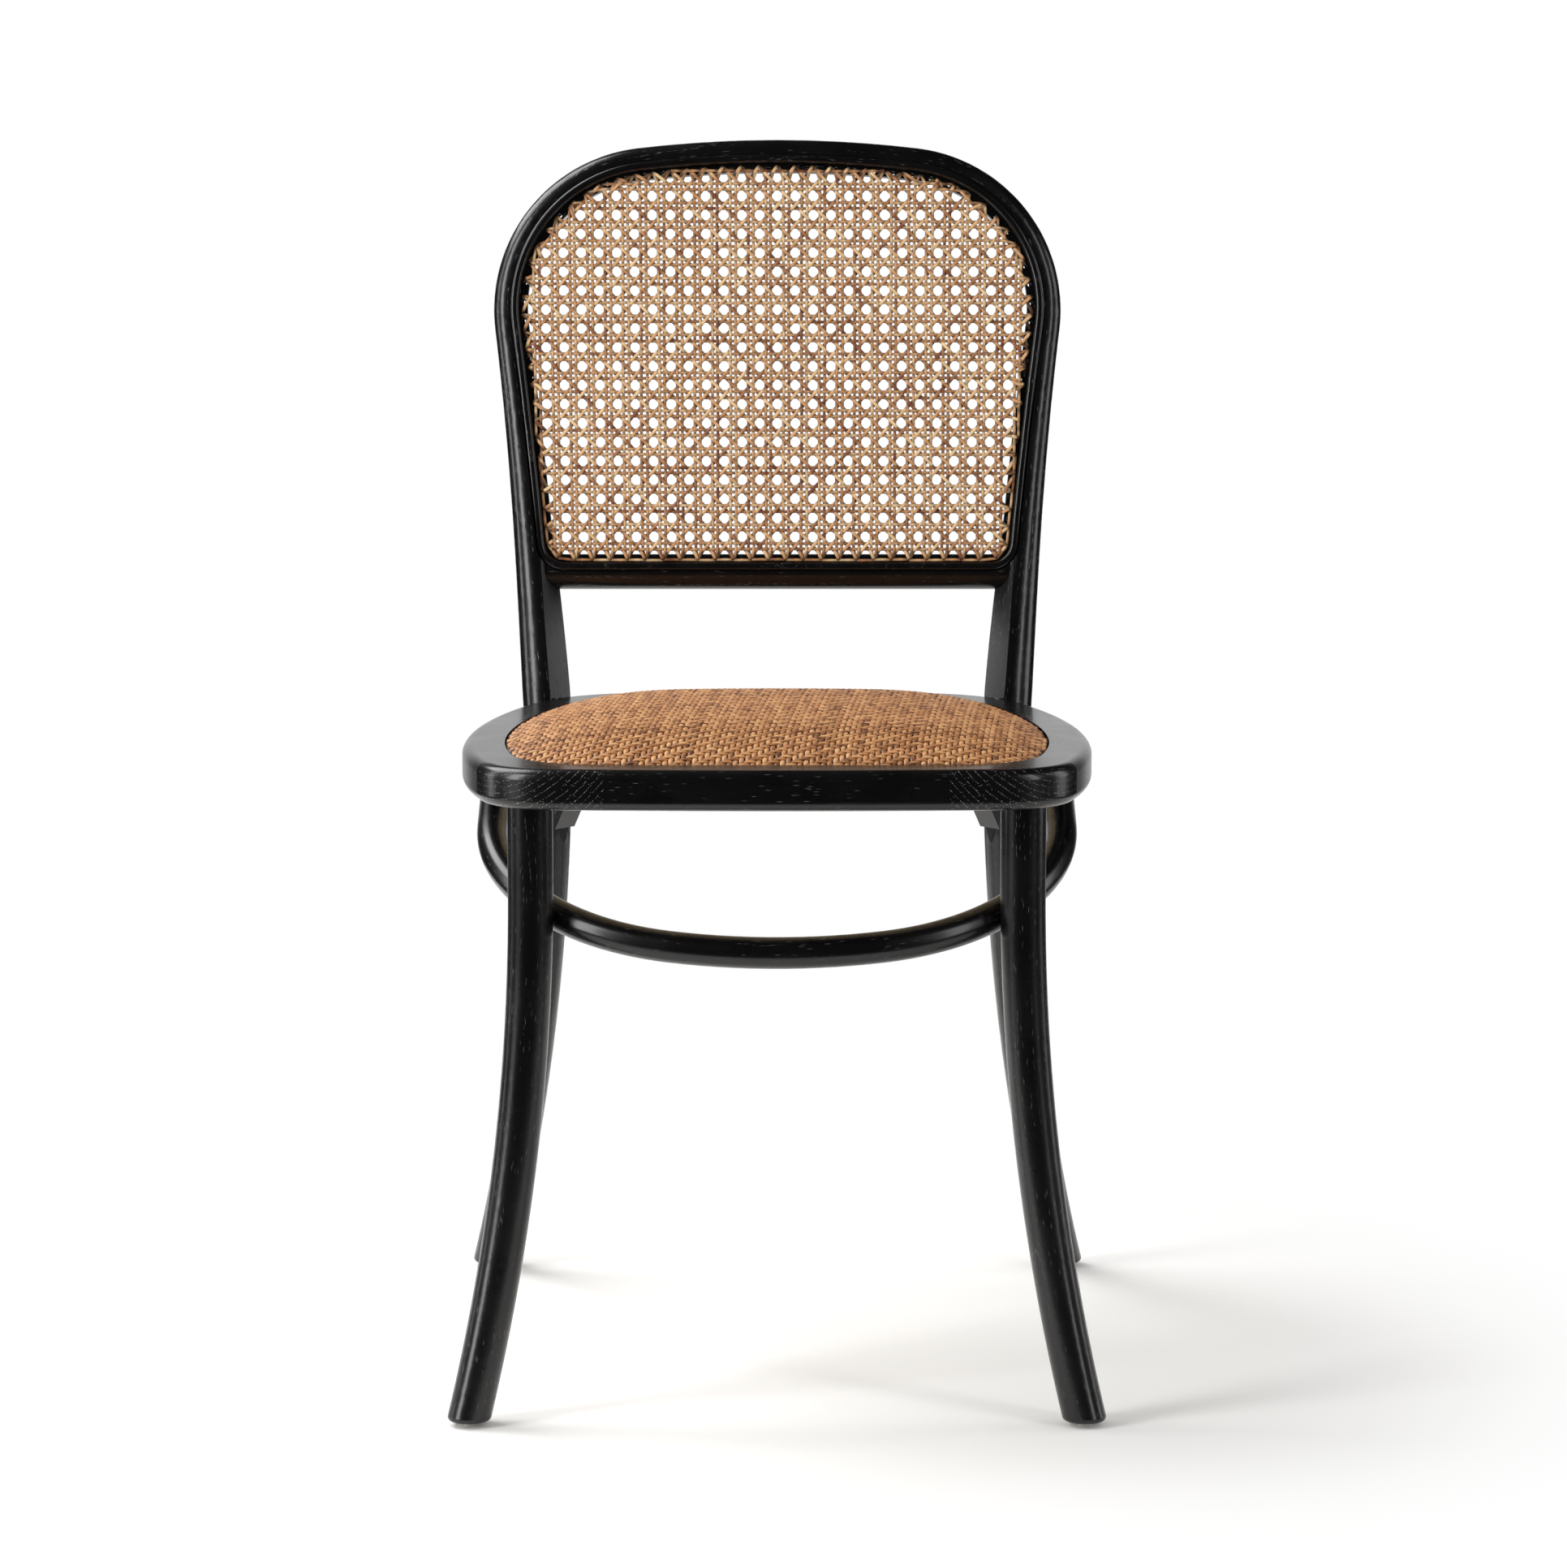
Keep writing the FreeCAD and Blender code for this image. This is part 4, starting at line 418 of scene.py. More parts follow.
def arc_points(centre, start, end, step=2.0):
    """Points on the shorter arc from start to end about centre, without its end."""
    centre, start, end = (np.array(p, float) for p in (centre, start, end))
    radius = np.hypot(*(start - centre))
    a0 = math.atan2(*(start - centre)[::-1])
    a1 = math.atan2(*(end - centre)[::-1])
    turn = (a1 - a0 + math.pi) % (2 * math.pi) - math.pi
    count = max(2, int(abs(turn) * radius / step))
    angles = a0 + turn * np.arange(count) / count
    return centre + radius * np.stack([np.cos(angles), np.sin(angles)], 1)


def line_points(start, end, step=2.0):
    """Points on a line, without its end."""
    start, end = np.array(start, float), np.array(end, float)
    count = max(2, int(np.linalg.norm(end - start) / step))
    return start + (end - start) * (np.arange(count) / count)[:, None]


def both_halves(half):
    """A closed outline from its right half, which runs from the middle to the middle."""
    return np.vstack([half, (half * [-1, 1])[::-1]])


# The back's plane: x across and y up it, from the bend at the seat

LEAN, SPLAY = math.radians(BACK_LEAN), math.radians(BACK_SPLAY)
UP = np.array([0, math.sin(LEAN), math.cos(LEAN)])
FRONT = np.array([0, -math.cos(LEAN), math.sin(LEAN)])
BACK_ORIGIN = np.array([0, POST_Y, BEND_LEVEL])
BEND_TANGENT = BEND_RAD * math.tan(math.acos(UP[2] * math.cos(SPLAY)) / 2)
HOOP_START = np.array([POST_X, 0]) + np.array([math.sin(SPLAY), math.cos(SPLAY)]) * BEND_TANGENT
C_SIDE = HOOP_START + np.array([math.cos(SPLAY), -math.sin(SPLAY)]) * SIDE_BOW
C_CROWN = np.array([0, HOOP_REACH - CROWN_BOW])
C_SHOULDER = max((meet(C_CROWN, CROWN_BOW - SHOULDER, C_SIDE, SIDE_BOW + SHOULDER, left)
                  for left in (False, True)), key=lambda p: p[1])


def direction(a, b):
    """Unit vector from a to b."""
    return (b - a) / np.linalg.norm(b - a)


def arch(start, inset):
    """Right half of the hoop's curve, drawn in by inset, from start to just before its top."""
    low = C_SIDE + direction(C_SIDE, C_SHOULDER) * (SIDE_BOW + inset)
    high = C_CROWN + direction(C_CROWN, C_SHOULDER) * (CROWN_BOW - inset)
    top = C_CROWN + np.array([0, CROWN_BOW - inset])
    return np.vstack([arc_points(C_SIDE, start, low), arc_points(C_SHOULDER, low, high),
                      arc_points(C_CROWN, high, top)])


def cane_outline(extra):
    """The cane frame's outline, drawn in by extra, from its bottom middle round to it."""
    inset, bottom = FRAME_INSET + extra, RAIL_REACH + extra
    corner = max(FRAME_CORNER - extra, 1)
    rise = bottom + corner - C_SIDE[1]
    reach = SIDE_BOW + inset + corner
    c_corner = np.array([C_SIDE[0] - math.sqrt(reach ** 2 - rise ** 2), bottom + corner])
    foot = np.array([c_corner[0], bottom])
    side = C_SIDE + direction(C_SIDE, c_corner) * (SIDE_BOW + inset)
    return both_halves(np.vstack([line_points((0, bottom), foot),
                                  arc_points(c_corner, foot, side), arch(side, inset)]))


def on_back(points, depth):
    """Places points of the back's plane in space, depth mm in front of it."""
    points = np.asarray(points, float)
    depth = np.broadcast_to(np.asarray(depth, float), points.shape[:1])
    return BACK_ORIGIN + points[:, :1] * [1, 0, 0] + points[:, 1:2] * UP + depth[:, None] * FRONT


# Spines of the bent rods, in millimetres

def leg_spine(top, foot, plumb):
    """Spine of a leg, from under its foot: one arc up to a plumb line under its top."""
    top, foot = np.array(top, float), np.array(foot, float)
    knee = top - [0, 0, plumb]
    out = (foot - top) * [1, 1, 0]
    reach = np.linalg.norm(out)
    drop = knee[2] - foot[2]
    radius = (drop ** 2 + reach ** 2) / (2 * reach)
    heights = np.linspace(foot[2] - 8, knee[2], 80)
    sag = radius - np.sqrt(radius ** 2 - (knee[2] - heights) ** 2)
    arc = top * [1, 1, 0] + out / reach * sag[:, None] + heights[:, None] * [0, 0, 1]
    return np.vstack([arc, line_points(knee, top, 4)[1:]])


def back_spine():
    """Spine of the back hoop with both rear legs, from the left foot to the right."""
    corner = np.array([POST_X, POST_Y, BEND_LEVEL])
    leg = leg_spine(corner - [0, 0, BEND_TANGENT], (*REAR_FOOT, GLIDE), REAR_PLUMB)
    hoop = on_back(np.vstack([arch(HOOP_START, 0), [[0, HOOP_REACH]]]), 0)
    share = np.linspace(0, 1, 14)[1:-1, None]
    bend = (1 - share) ** 2 * leg[-1] + 2 * share * (1 - share) * corner + share ** 2 * hoop[0]
    right = np.vstack([leg, bend, hoop])
    return np.vstack([right * [-1, 1, 1], right[::-1][1:]])


def leg_hoop_spine():
    """Spine of the hoop between the legs, in its sloping plane."""
    tilt = math.radians(LEG_HOOP_TILT)
    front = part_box("leg_hoop")[0].y / MM + LEG_HOOP_RADIUS
    reach = (LEG_HOOP_END_Y - front) / math.cos(tilt)
    c_front = np.array([0, LEG_HOOP_FRONT_RAD])
    out = LEG_HOOP_HALF_WIDTH - LEG_HOOP_CORNER_RAD
    rise = math.sqrt((LEG_HOOP_FRONT_RAD - LEG_HOOP_CORNER_RAD) ** 2 - out ** 2)
    c_corner = np.array([out, LEG_HOOP_FRONT_RAD - rise])
    front_end = c_front + direction(c_front, c_corner) * LEG_HOOP_FRONT_RAD
    side = np.array([LEG_HOOP_HALF_WIDTH, c_corner[1]])
    past_end = np.array([LEG_HOOP_HALF_WIDTH, reach + 14])
    half = np.vstack([arc_points(c_front, (0, 0), front_end), arc_points(c_corner, front_end, side),
                      line_points(side, past_end)])
    flat = np.vstack([(half * [-1, 1])[::-1], half[1:]])
    slope = np.array([0, math.cos(tilt), math.sin(tilt)])
    start = np.array([0, LEG_HOOP_END_Y, RING_UNDERSIDE]) - slope * reach
    return start + flat[:, :1] * [1, 0, 0] + flat[:, 1:2] * slope


# Meshes

def mesh_object(name, vertices, faces, material, smooth=True):
    """A new object from vertices in metres and faces."""
    mesh = bpy.data.meshes.new(name)
    mesh.from_pydata(vertices.tolist(), [], faces)
    mesh.materials.append(material)
    mesh.polygons.foreach_set("use_smooth", np.full(len(mesh.polygons), smooth))
    mesh.update()
    thing = bpy.data.objects.new(name, mesh)
    bpy.context.scene.collection.objects.link(thing)
    return thing


def store(thing, name, kind, values):
    """Stores an attribute of one value per vertex."""
    layer = thing.data.attributes.new(name, kind, "POINT")
    field = "vector" if kind == "FLOAT_VECTOR" else "value"
    layer.data.foreach_set(field, np.asarray(values, np.float32).ravel())


def dress(piece, node):
    """Makes a piece ride on the chair in place of a CAD node."""
    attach(piece, "root")
    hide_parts(node)


def vertices_of(node):
    """The vertices of a CAD node, in millimetres."""
    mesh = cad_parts[node].data
    flat = np.empty(len(mesh.vertices) * 3, np.float32)
    mesh.vertices.foreach_get("co", flat)
    return flat.reshape(-1, 3).astype(float) / MM


def unbent(points, spine):
    """Where each point lay in the straight rod: two offsets across it and the length along it."""
    step = np.diff(spine, axis=0)
    length = np.linalg.norm(step, axis=1)
    ahead = step / length[:, None]
    along = np.concatenate([[0], np.cumsum(length)])
    # A side across the first step, in a direction no rod takes, carried along without twist
    side = np.cross(ahead[0], [0.31, 0.95, 0.05])
    sides = []
    for a in ahead:
        side = side - a * side.dot(a)
        side /= np.linalg.norm(side)
        sides.append(side)
    sides = np.array(sides)
    others = np.cross(ahead, sides)
    middle = (spine[:-1] + spine[1:]) / 2
    parts = []
    for part in np.array_split(points, len(points) // 4000 + 1):
        near = ((part[:, None, :] - middle[None]) ** 2).sum(2).argmin(1)
        off = part - spine[near]
        parts.append(np.stack([(off * sides[near]).sum(1), (off * others[near]).sum(1),
                               along[near] + (off * ahead[near]).sum(1)], 1))
    return np.vstack(parts)


def wooden(node, material, grain):
    """A CAD node's shape as a wooden piece that knows how its grain runs."""
    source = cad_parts[node]
    piece = source.copy()
    piece.data = source.data.copy()
    piece.name = piece.data.name = node + "_wood"
    for key in [k for k in piece.keys() if k.startswith("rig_")]:
        del piece[key]
    piece.parent = None
    bpy.context.scene.collection.objects.link(piece)
    piece.data.materials.clear()
    piece.data.materials.append(material)
    store(piece, "grain", "FLOAT_VECTOR", grain * MM)
    dress(piece, node)


# How far apart two strands lie in their shared pattern, so that no two look alike
PATTERN_STEP = 7310.0


def ribbons(name, material, strands, section):
    """Strands of cane as one object.

    Each strand is its centre line, its upward normals, its width, its thickness, a tone, and how far
    it dips along its line, from 0 to 1, which darkens it as painted shade."""
    ring = np.array(section, float)
    size = len(ring)
    vertices, faces, weave, tones, painted_shade_depths = [], [], [], [], []
    base = 0
    edge_shade = 0.35 * (np.abs(ring[:, 0]) > 0.4)
    for number, (line, normals, width, thick, tone, low) in enumerate(strands):
        count = len(line)
        ahead = np.gradient(line, axis=0)
        ahead /= np.linalg.norm(ahead, axis=1)[:, None]
        side = np.cross(ahead, normals)
        side /= np.linalg.norm(side, axis=1)[:, None]
        rise = np.cross(side, ahead)
        points = (line[:, None, :] + side[:, None, :] * (ring[None, :, :1] * width)
                  + rise[:, None, :] * (ring[None, :, 1:] * thick))
        vertices.append(points.reshape(-1, 3))
        along = np.concatenate([[0], np.cumsum(np.linalg.norm(np.diff(line, axis=0), axis=1))])
        place = np.empty((count, size, 3))
        place[:, :, 0] = ring[None, :, 0] * width
        place[:, :, 1] = along[:, None]
        place[:, :, 2] = number * PATTERN_STEP
        weave.append(place.reshape(-1, 3))
        tones.append(np.full(count * size, tone))
        # Painted shade: darker where the strand dips and along its edges
        painted_shade_depths.append(np.clip(low[:, None] + edge_shade[None, :], 0, 1).ravel())
        rows = base + np.arange(count - 1)[:, None] * size
        cols = np.arange(size)[None, :]
        nexts = (cols + 1) % size
        quads = np.stack([rows + cols, rows + nexts, rows + size + nexts, rows + size + cols], 2)
        faces.extend(quads.reshape(-1, 4).tolist())
        faces.append(list(range(base, base + size))[::-1])
        faces.append(list(range(base + (count - 1) * size, base + count * size)))
        base += count * size
    thing = mesh_object(name, np.vstack(vertices) * MM, faces, material)
    store(thing, "weave", "FLOAT_VECTOR", np.vstack(weave) * MM)
    store(thing, "strand", "FLOAT", np.concatenate(tones))
    store(thing, "painted_shade_depth", "FLOAT", np.concatenate(painted_shade_depths))
    return thing


# A strand's section, flat below and rounded above, in shares of its width and thickness
HALF_ROUND = ((-0.44, -0.5), (0.44, -0.5), (0.5, -0.02), (0.24, 0.42), (-0.24, 0.42),
              (-0.5, -0.02))


# The back's cane

LATTICE_LEVEL = 262.9
# The border loops show along the bottom of the panel only
LOOPS_END = 200.0
# The strands end in the lip, in holes that follow the uprights along the panel's bottom
RIM_IN_LIP, BOTTOM_LEVEL, BOTTOM_HALF, HOLE_PITCH = 1.7, 120, 155.6, 13.5


def over_and_under(crossings):
    """Rise over one strand of each crossed pair and fall under the other, from 1 to -1.

    crossings is the place along a strand, counted in pairs."""
    gate = np.sin(2 * np.pi * (crossings - 0.5))
    hump = np.sign(gate) * np.abs(gate) ** 0.6
    return hump * np.clip((np.abs((crossings + 0.5) % 1 - 0.5) - 0.13) / 0.14, 0, 1)


class CaneBack:
    """Works out the strands of the six-way cane in the plane of the back, in millimetres."""

    def __init__(self, sizes):
        self.pitch = sizes.lattice_across / MM
        self.rise = sizes.lattice_up / MM
        self.pair = sizes.pair_gap / MM
        self.thick = sizes.cane_thick / MM
        self.width = sizes.cane_width / MM
        self.slant = sizes.diagonal_width / MM
        self.rim = cane_outline(BEAD + RIM_IN_LIP)
        self.random = np.random.default_rng(11)
        self.depth = LIP_FACE + 1.6 * self.thick

    def pitch_at(self, v):
        """Spacing across, which opens a little towards the top as the frame does."""
        return self.pitch * (1 + 0.02 * (v - 270) / 270)

    def inside(self, points):
        """Whether points lie inside the rim."""
        x, y = points[:, 0], points[:, 1]
        ax, ay = self.rim[:, 0], self.rim[:, 1]
        bx, by = np.roll(ax, -1), np.roll(ay, -1)
        crosses = ((ay[None] > y[:, None]) != (by[None] > y[:, None]))
        with np.errstate(divide="ignore", invalid="ignore"):
            at = (bx - ax)[None] * (y[:, None] - ay[None]) / (by - ay)[None] + ax[None]
        return (crosses & (x[:, None] < at)).sum(1) % 2 == 1

    def clipped(self, points, levels):
        """The part of a strand inside the rim, with its ends run down into the lip."""
        keep = self.inside(points)
        if keep.sum() < 6:
            return None
        first, last = np.flatnonzero(keep)[[0, -1]]
        points, levels = points[first:last + 1].copy(), levels[first:last + 1].copy()
        run = np.concatenate([[0], np.cumsum(np.linalg.norm(np.diff(points, axis=0), axis=1))])
        for end, away in ((0, run), (-1, run[-1] - run)):
            # The last 11 mm bend to the nearest hole, and the last 3.4 mm go down into it
            hole = self.holes[((self.holes - points[end]) ** 2).sum(1).argmin()]
            share = np.clip(1 - away / 11, 0, 1) ** 1.6
            points += (hole - points[end]) * share[:, None]
            levels -= 2.6 * np.clip(1 - away / 3.4, 0, 1) ** 1.5 * self.thick
        return points, levels

    def make_holes(self):
        """The rim's holes: under the upright pairs along the bottom, then evenly round."""
        bottom_pitch = self.pitch_at(BOTTOM_LEVEL)
        count = int(BOTTOM_HALF / bottom_pitch - 0.5)
        xs = (np.arange(-count - 1, count + 1) + 0.5) * bottom_pitch
        level = self.rim[0, 1]
        rim = self.rim
        length = np.concatenate([[0], np.cumsum(np.linalg.norm(np.diff(rim, axis=0), axis=1))])
        start = np.interp(xs[-1], rim[:len(rim) // 4, 0], length[:len(rim) // 4])
        total = length[-1] + np.linalg.norm(rim[0] - rim[-1])
        rest = total - 2 * start
        steps = round(rest / HOLE_PITCH)
        at = start + rest * np.arange(1, steps) / steps
        round_it = np.stack([np.interp(at, length, rim[:, 0]), np.interp(at, length, rim[:, 1])], 1)
        along_bottom = np.stack([xs, np.full(len(xs), level)], 1)
        self.holes = np.vstack([along_bottom, round_it])

    def strand(self, points, levels, width):
        """One strand, or nothing if it misses the panel."""
        cut = self.clipped(points, levels)
        if cut is None:
            return None
        points, levels = cut
        line = on_back(points, self.depth + levels)
        tone = self.random.random()
        # Painted shade: the lower the strand lies, the darker it is drawn, down to its ends in the
        # holes
        low = np.clip(0.5 - levels / self.thick, 0, 1)
        return line, np.broadcast_to(FRONT, line.shape), width, self.thick, tone, low

    def build(self):
        """The uprights, the levels and the two slants, each as a list of strands.

        Each strand starts past the rim, where it is cut off. It sways slowly by about 0.2 mm
        and lies a little off its place."""
        self.make_holes()
        step = 1.45
        half, lift = self.pair / 2, self.thick / 2
        uprights, levels, rising, falling = [], [], [], []
        v = np.arange(105, 430, step)
        wave = over_and_under((v - LATTICE_LEVEL) / self.rise) * lift
        for k in range(-16, 16):
            for hand in (-1, 1):
                x = (k + 0.5) * self.pitch_at(v) + hand * half
                wobble = 0.22 * np.sin(v / 31 + k * 1.7 + hand) + self.random.normal(0, 0.16)
                points = np.stack([x + wobble, v], 1)
                uprights.append(self.strand(points, -hand * wave, self.width))
        x = np.arange(-205, 205, step)
        for r in range(-11, 12):
            for hand in (-1, 1):
                level = LATTICE_LEVEL + (r + 0.5) * self.rise + hand * half * 1.09
                wave = over_and_under(x / self.pitch_at(level)) * lift
                wobble = 0.2 * np.sin(x / 27 + r * 2.3 + hand) + self.random.normal(0, 0.14)
                points = np.stack([x, level + wobble], 1)
                levels.append(self.strand(points, hand * wave, self.width))
        run = np.arange(-34, 34, step / (self.pitch * 1.46))
        for n in range(-46, 46):
            for hand, group in ((1, rising), (-1, falling)):
                v = LATTICE_LEVEL + (hand * run + n + 0.5) * self.rise
                x = run * self.pitch_at(v)
                wave = np.sin(np.clip(np.cos(2 * np.pi * run) * hand * 1.7, -1, 1) * np.pi / 2)
                points = np.stack([x, v + self.random.normal(0, 0.18)], 1)
                group.append(self.strand(points, wave * self.thick, self.slant))
        return [[s for s in group if s is not None]
                for group in (uprights, levels, rising, falling)]

    def border(self):
        """Short loops on the lip from hole to hole."""
        loops = []
        holes = self.holes
        centre = holes.mean(0)
        order = np.argsort(np.arctan2(*(holes - centre).T[::-1]))
        holes = holes[order]
        for a, b in zip(holes, np.roll(holes, -1, 0)):
            if a[1] + b[1] > 2 * LOOPS_END:
                continue
            share = np.linspace(0, 1, 10)
            swell = np.sin(share * np.pi)
            line = a + (b - a) * share[:, None]
            inward = direction(line[5], centre)
            line = line + inward * (0.5 + self.random.normal(0, 0.25))
            # Both ends go 1.4 mm down into their holes
            space = on_back(line, self.depth - 1.4 + swell ** 0.5 * self.thick * 1.1)
            # Painted shade: the loop is drawn darker towards its ends, where it goes into the holes
            loops.append((space, np.broadcast_to(FRONT, space.shape), self.width, self.thick,
                          self.random.random(), 0.8 - 0.7 * swell))
        return loops


# The seat

SEAT_MIDDLE = -29.0
RIM_LEVEL = RING_TOP - RIM_DROP
# How far out and down the end of a strand turns in three steps, and how far its normals lean
TURN_DOWN = ((0.7, 0.7), (1.0, 2.6), (1.1, 7.0))
LEAN_OUT = (3.2, 2.4, 1.0)


def mouth_outline(inset):
    """The seat opening's outline, drawn in by inset from its edge."""
    band = RING_BAND + inset
    front_rad, rear_rad = MOUTH_FRONT_RAD - inset, MOUTH_REAR_RAD - inset
    r_front, r_rear, r_side_f, r_side_r = (
        bow - band for bow in (FRONT_BOW, REAR_BOW, SIDE_FRONT_BOW, SIDE_REAR_BOW))
    widest = np.array([RING_HALF_WIDTH - band, RING_WIDEST_Y])
    c_front = np.array([0, RING_FRONT_Y + FRONT_BOW])
    c_rear = np.array([0, RING_REAR_Y - REAR_BOW])
    c_side_f, c_side_r = widest - [r_side_f, 0], widest - [r_side_r, 0]
    corner_f = meet(c_front, r_front - front_rad, c_side_f, r_side_f - front_rad, True)
    corner_r = meet(c_rear, r_rear - rear_rad, c_side_r, r_side_r - rear_rad, False)
    front_end = c_front + direction(c_front, corner_f) * r_front
    side_start = c_side_f + direction(c_side_f, corner_f) * r_side_f
    side_end = c_side_r + direction(c_side_r, corner_r) * r_side_r
    rear_start = c_rear + direction(c_rear, corner_r) * r_rear
    half = np.vstack([
        arc_points(c_front, c_front - [0, r_front], front_end),
        arc_points(corner_f, front_end, side_start),
        arc_points(c_side_f, side_start, widest),
        arc_points(c_side_r, widest, side_end),
        arc_points(corner_r, side_end, rear_start),
        arc_points(c_rear, rear_start, c_rear + [0, r_rear]),
    ])
    return both_halves(half)


class SeatForm:
    """The seat's outline by angle about its middle, and its crowned surface."""

    def __init__(self, inset):
        line = mouth_outline(inset) - [0, SEAT_MIDDLE]
        angle = np.arctan2(line[:, 1], line[:, 0])
        order = np.argsort(angle)
        self.angle, self.reach = angle[order], np.hypot(*line[order].T)

    def share(self, x, y):
        """How far out a place is, from 0 in the middle to 1 on the outline."""
        y = y - SEAT_MIDDLE
        edge = np.interp(np.arctan2(y, x), self.angle, self.reach, period=2 * np.pi)
        return np.hypot(x, y) / edge

    def height(self, x, y):
        """Height of the crowned surface."""
        return RIM_LEVEL + CROWN_RISE * (1 - np.clip(self.share(x, y), 0, 1) ** CROWN_POWER)

    def normals(self, x, y):
        """Upward normals of the crowned surface, from its slopes over 1 mm."""
        slope_x = self.height(x + 0.5, y) - self.height(x - 0.5, y)
        slope_y = self.height(x, y + 0.5) - self.height(x, y - 0.5)
        return np.stack([-slope_x, -slope_y, np.ones(len(x))], 1)


def outward(way):
    """The level unit vector along a direction."""
    return way * [1, 1, 0] / np.hypot(way[0], way[1])


def seat_strand(form, edge, points, wave, width, thick, tone):
    """A strand laid over the crown, with its ends turned down at the ring."""
    keep = edge.share(points[:, 0], points[:, 1]) < 1
    if keep.sum() < 4:
        return None
    first, last = np.flatnonzero(keep)[[0, -1]]
    x, y = points[first:last + 1].T
    wave = wave[first:last + 1]
    line = np.stack([x, y, form.height(x, y) - 0.95 * thick + wave], 1)
    # Painted shade: darker where the strand dips under a crossing one, and darkest at its ends, which
    # turn down under the ring
    low = np.clip(0.5 - wave / (1.1 * thick), 0, 1)
    low = np.concatenate([[1, 1, 0.6], low, [0.6, 1, 1]])
    # Each turn of the loop adds to the line's end and leaves the line the other way round
    for _ in range(2):
        line = line[::-1]
        out = outward(line[-1] - line[-2])
        end = line[-1] * [1, 1, 0] + [0, 0, min(line[-1, 2], RIM_LEVEL - 0.4)]
        line = np.vstack([line, [end + out * far - [0, 0, down] for far, down in TURN_DOWN]])
    normals = form.normals(line[:, 0], line[:, 1])
    for end, step in ((0, 1), (-1, -1)):
        out = outward(line[end] - line[end + 3 * step])
        for number, lean in enumerate(LEAN_OUT):
            normals[end + number * step] += out * lean
    normals /= np.linalg.norm(normals, axis=1)[:, None]
    return line, normals, width, thick, tone, low


def twill_wave(count):
    """Rise and fall of a strand that goes over two and under two, by half crossings."""
    shape = np.array([0.9, 1.3, 0.9, 0.0, -0.9, -1.1, -0.9, 0.0])
    return shape[count % 8]


# Pieces

def finish_node(node, material):
    """Gives a carried-over CAD node its material."""
    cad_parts[node].material_slots[0].material = material


class CHAIR_OT_bent_wood(bpy.types.Operator):
    """Dress the bent rods: back hoop with rear legs, front legs and the hoop between them"""
    bl_idname = "chair.bent_wood"
    bl_label = "Bent rods"

    def execute(self, context):
        stain = tuple(context.scene.chair_colours.stain)
        material = stained_ash("black_stained_ash_bent", stain, False)
        wooden("back_hoop", material, unbent(vertices_of("back_hoop"), back_spine()))
        wooden("leg_hoop", material, unbent(vertices_of("leg_hoop"), leg_hoop_spine()))
        top, foot = np.array(FRONT_TOP), np.array([*FRONT_FOOT, GLIDE])
        for node, side in (("front_leg_left", -1), ("front_leg_right", 1)):
            spine = leg_spine(top * [side, 1, 1], foot * [side, 1, 1], FRONT_PLUMB)
            grain = unbent(vertices_of(node), spine)
            # Each leg is cut from another stretch of timber
            wooden(node, material, grain + [0, 0, 4000 + side * 900])
        return {"FINISHED"}


class CHAIR_OT_sawn_wood(bpy.types.Operator):
    """Dress the sawn parts: seat ring, lower back rail, cane frame and corner blocks"""
    bl_idname = "chair.sawn_wood"
    bl_label = "Sawn parts"

    def execute(self, context):
        stain = tuple(context.scene.chair_colours.stain)
        material = stained_ash("black_stained_ash_sawn", stain, False)
        end_grain = stained_ash("black_stained_ash_end_grain", stain, True)
        # Axes across and along the grain, which way the first one counts, and a shift through
        # the pattern in millimetres, which is 31 times as far along the grain
        runs = {
            "seat_front_rail": ((1, 2, 0), -1, 12), "seat_rear_rail": ((1, 2, 0), 1, 35),
            "seat_side_rail_left": ((0, 2, 1), -1, 0), "seat_side_rail_right": ((0, 2, 1), 1, 0),
            "lower_back_rail": ((1, 2, 0), 1, 12),
            "corner_block_left": ((0, 1, 2), -1, 7), "corner_block_right": ((0, 1, 2), 1, 60),
        }
        for node, (order, way, shift) in runs.items():
            points = vertices_of(node)
            low, high = points.min(0), points.max(0)
            turned = points[:, order] - ((low + high) / 2)[list(order)]
            out = turned[:, 0] * way + shift
            wooden(node, end_grain if "side_rail" in node else material,
                   np.stack([out, turned[:, 1], turned[:, 2] + 31 * shift], 1))
        spine = on_back(cane_outline(BEAD), LIP_FACE - 1)
        wooden("cane_frame", material, unbent(vertices_of("cane_frame"), spine))
        return {"FINISHED"}


class CHAIR_OT_back_cane(bpy.types.Operator):
    """Weave the back's cane strand by strand"""
    bl_idname = "chair.back_cane"
    bl_label = "Back cane"

    def execute(self, context):
        sizes = context.scene.chair_sizes
        cane = CaneBack(sizes)
        mid = tuple(context.scene.chair_colours.cane)
        material = rattan_cane("split_rattan_peel", CANE_LIGHT, mid, CANE_DARK, CANE_NODE, 0.38,
                               0.55, 0.26)
        names = ("cane_uprights", "cane_levels", "cane_rising", "cane_falling", "cane_border")
        for name, strands in zip(names, (*cane.build(), cane.border())):
            dress(ribbons(name, material, strands, HALF_ROUND), "back_cane")
        return {"FINISHED"}


